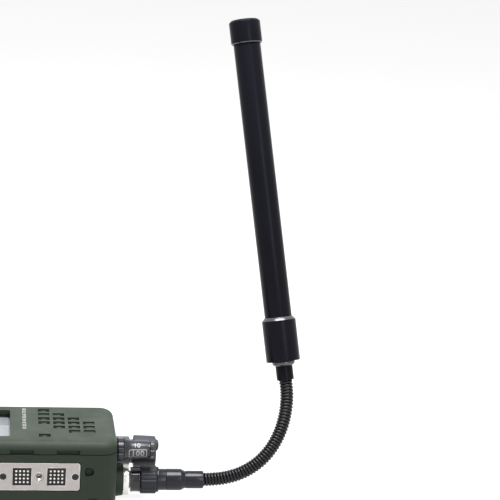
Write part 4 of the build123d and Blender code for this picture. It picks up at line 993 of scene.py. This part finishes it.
# %% Place the screws
PLATE_HEAD, PLATE_SHANK = (2.25, 1.3), 1.2
CASE_HEAD, CASE_SHANK, CASE_SHANK_LENGTH = (2.8, 2.0), 1.5, 12.0
CASE_SCREW_X = (-25.9, 10.0, 111.9)
low, high, _ = measure("side_plate_screws")
plate_middle = measure("side_plate")[2]
radius, height = PLATE_HEAD
for count, (x, angle) in enumerate(((low.x + radius, 0.62), (high.x - radius, 0.28)), 1):
    bm = shank(screw_head(radius, height), PLATE_SHANK, high.y - low.y - height)
    seat(bm, (x, low.y + height, plate_middle.z), TO_FRONT, (math.cos(angle), 0, math.sin(angle)))
    keep(f"plate_screw_{count}", bm, SCREW_BLACK, "radio",
         ["side_plate_screws"] if count == 1 else ())
low, high, _ = measure("case_screws")
radius, height = CASE_HEAD
places = [(x, y) for x in CASE_SCREW_X for y in (low.y + radius, high.y - radius)]
for count, (x, y) in enumerate(places, 1):
    bm = shank(screw_head(radius, height), CASE_SHANK, CASE_SHANK_LENGTH)
    seat(bm, (x, y, low.z + height), (0, 0, -1), (math.cos(count), math.sin(count), 0))
    keep(f"case_screw_{count}", bm, SCREW_BLACK, "radio",
         ["case_screws"] if count == 1 else ())

# %% [markdown]
# Between the contact blocks sits a threaded steel insert for an accessory's thumbscrew. The
# thread is a row of ridges down the bore of the spun profile, and its mouth is countersunk.

# %% Threaded insert
insert_profile = [(0, 3.1), (5.35, 3.1), (5.6, 2.85), (5.6, 2.35), (5.0, 1.75)]
for k in range(9):
    insert_profile += [(4.8 - 0.5 * k, 1.55), (4.55 - 0.5 * k, 1.8)]
insert_profile += [(0.4, 1.55), (0.4, 0), (0, 0), (0, 3.1)]
insert = in_side_plate(turned(insert_profile, rim=0.0, steps=48), "accessory_insert")
keep("accessory_insert_threaded", insert, INSERT_STEEL, "radio", ["accessory_insert"])

# %% [markdown]
# Behind the clear window lies a grey display panel on its module. A black strip lies along each
# long edge of the module, and a thin bright rim frames what is left between them. The strips
# are very thin blocks and the rim is a flat frame, all laid on the module.

# %% Display
low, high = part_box("lcd_window")
window_size = (high - low) / MM
window_middle = (low + high) / 2 / MM
glass = block((window_size.x, window_size.y, window_size.z), 1.0, 0.15)
bmesh.ops.translate(glass, vec=(window_middle.x, window_middle.y, low.z / MM), verts=glass.verts)
keep("display_window", glass, WINDOW, "radio", ["lcd_window"])
print("window", [round(v, 2) for v in window_size])
module_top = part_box("lcd_module")[1].z / MM
for name, y in (("far", high.y / MM - 2.6), ("near", low.y / MM + 2.6)):
    bar = block((window_size.x - 0.2, 5.0, 0.03), 0.3, 0.005)
    bmesh.ops.translate(bar, vec=(window_middle.x, y, module_top + 0.005), verts=bar.verts)
    keep(f"display_dark_strip_{name}", bar, STRIP_BLACK, "radio")
rim = rounded_frame(window_size.x - 0.4, window_size.y - 10.4, 0.9, 0.4, thickness=0.03)
bmesh.ops.translate(rim, vec=(window_middle.x, window_middle.y, module_top + 0.005), verts=rim.verts)
keep("display_panel_rim", rim, PANEL_EDGE, "radio")
print("gap under the window", round(low.z / MM - module_top, 3))

# %% [markdown]
# The keys are soft caps that stand through the front shell. Each is a block with round
# corners and a softer top rim, a little dished, and carries a plain number. The numbers run
# from 1 to 12, one for each key of the frame.

# %% Keys
KEY_SIZE = (9.0, 10.4)
DISH = 0.12
for number in range(1, 13):
    node = f"key_{number:02d}"
    low, high, middle = measure(node)
    height = high.z - low.z
    cap = block((*KEY_SIZE, height), 2.0, 0.7)
    for vert in cap.verts:
        if vert.co.z > height - 0.01:
            inset = math.hypot(2 * vert.co.x / KEY_SIZE[0], 2 * vert.co.y / KEY_SIZE[1])
            vert.co.z -= DISH * max(0.0, 1 - inset)
    lift(cap, (middle.x, middle.y, low.z))
    keep(f"key_cap_{number:02d}", cap, KEY_RUBBER, node, [node], sharp=50)
    digits = flat_text(str(number), 4.2, 0.06)
    seat(digits, (middle.x, middle.y, high.z + 0.01), (0, 0, 1), TO_FRONT)
    keep(f"key_number_{number:02d}", digits, WHITE_PRINT, node)

# %% [markdown]
# On the left side are the long push-to-talk button and two volume buttons. They are rubber
# blocks with finger ribs, so one helper makes a block with a row of ribs, and another turns
# it to face out of that side.

# %% Side buttons
RIB_PITCH, RIB_WIDTH, RIB_HEIGHT = 2.2, 0.9, 0.35
BUTTON_DEPTH, BUTTON_Z = 3.4, 33.0


def ribbed_block(length, height, ribs):
    """A rounded block along +Z with finger ribs across its top."""
    bm = block((length, height, BUTTON_DEPTH - RIB_HEIGHT), 2.2, 0.5)
    for k in range(ribs):
        rib = bmesh.ops.create_cube(bm, size=1)["verts"]
        x = (k - (ribs - 1) / 2) * RIB_PITCH
        bmesh.ops.scale(bm, vec=(RIB_WIDTH, height * 0.62, RIB_HEIGHT * 2), verts=rib)
        bmesh.ops.translate(bm, vec=(x, 0, BUTTON_DEPTH - RIB_HEIGHT), verts=rib)
        bevel(bm, list({e for v in rib for e in v.link_edges}), 0.22, 2)
    return bm


for body, x, length, height, ribs in (("ptt", 62.0, 42.0, 15.0, 7), ("volume_down", -15.45, 10.5, 12.0, 1),
                                      ("volume_up", -0.45, 10.5, 12.0, 3)):
    node = f"{body}_button"
    face = measure(node)[1].y
    button = seat(ribbed_block(length, height, ribs), (x, face - BUTTON_DEPTH, BUTTON_Z), (0, 1, 0), ALONG_X)
    keep(f"{node}_ribbed", button, SIDE_RUBBER, body, [node])

# %% [markdown]
# A column of small plain numbers is printed across the front shell beside the loudspeaker
# slots. It is flat text laid on the face with its top towards the display.

# %% Print on the front shell
COLUMN_X, COLUMN_Y, COLUMN_LENGTH = 59.4, 8.5, 41.0
front_top = measure("front_shell")[1].z
column = flat_text("10 20 30 40 50 60 70 80", 2.5, 0.04, spacing=0.98)
width = max(v.co.x for v in column.verts) * 2
bmesh.ops.scale(column, vec=(COLUMN_LENGTH / width, 1, 1), verts=column.verts)
seat(column, (COLUMN_X, COLUMN_Y, front_top + 0.015), (0, 0, 1), (0, 1, 0))
keep("front_print", column, WHITE_PRINT, "radio")

# %% [markdown]
# The floor is a large sheet that keeps the soft shadow. It is pale grey, and is lifted to
# white for the camera and for mirrors alone, so that it puts no extra light on the radio.

# %% Floor
FLOOR_LIFT = 0.86


def floor_finish():
    """Pale paper, lifted to white where it is looked at."""
    material = finish("pale_floor", (0.30, 0.30, 0.30), 0.9, drift=0.01, grain=300.0, depth=0.00001,
                      specular=0.0)
    tree = material.node_tree
    shader = tree.nodes["Principled BSDF"]
    path = add_node(tree, "LightPath", {}).outputs
    seen = math_of(tree, "MAXIMUM", path["Is Camera Ray"], path["Is Glossy Ray"])
    shader.inputs["Emission Color"].default_value = WHITE
    tree.links.new(ranged(tree, seen, 0.0, 1.0, 0.0, FLOOR_LIFT), shader.inputs["Emission Strength"])
    return material


bm = bmesh.new()
bmesh.ops.create_grid(bm, x_segments=1, y_segments=1, size=5.0)
floor_mesh = bpy.data.meshes.new("floor")
bm.to_mesh(floor_mesh)
bm.free()
floor_mesh.materials.append(floor_finish())
floor = bpy.data.objects.new("floor", floor_mesh)
scene.collection.objects.link(floor)
print("floor laid")
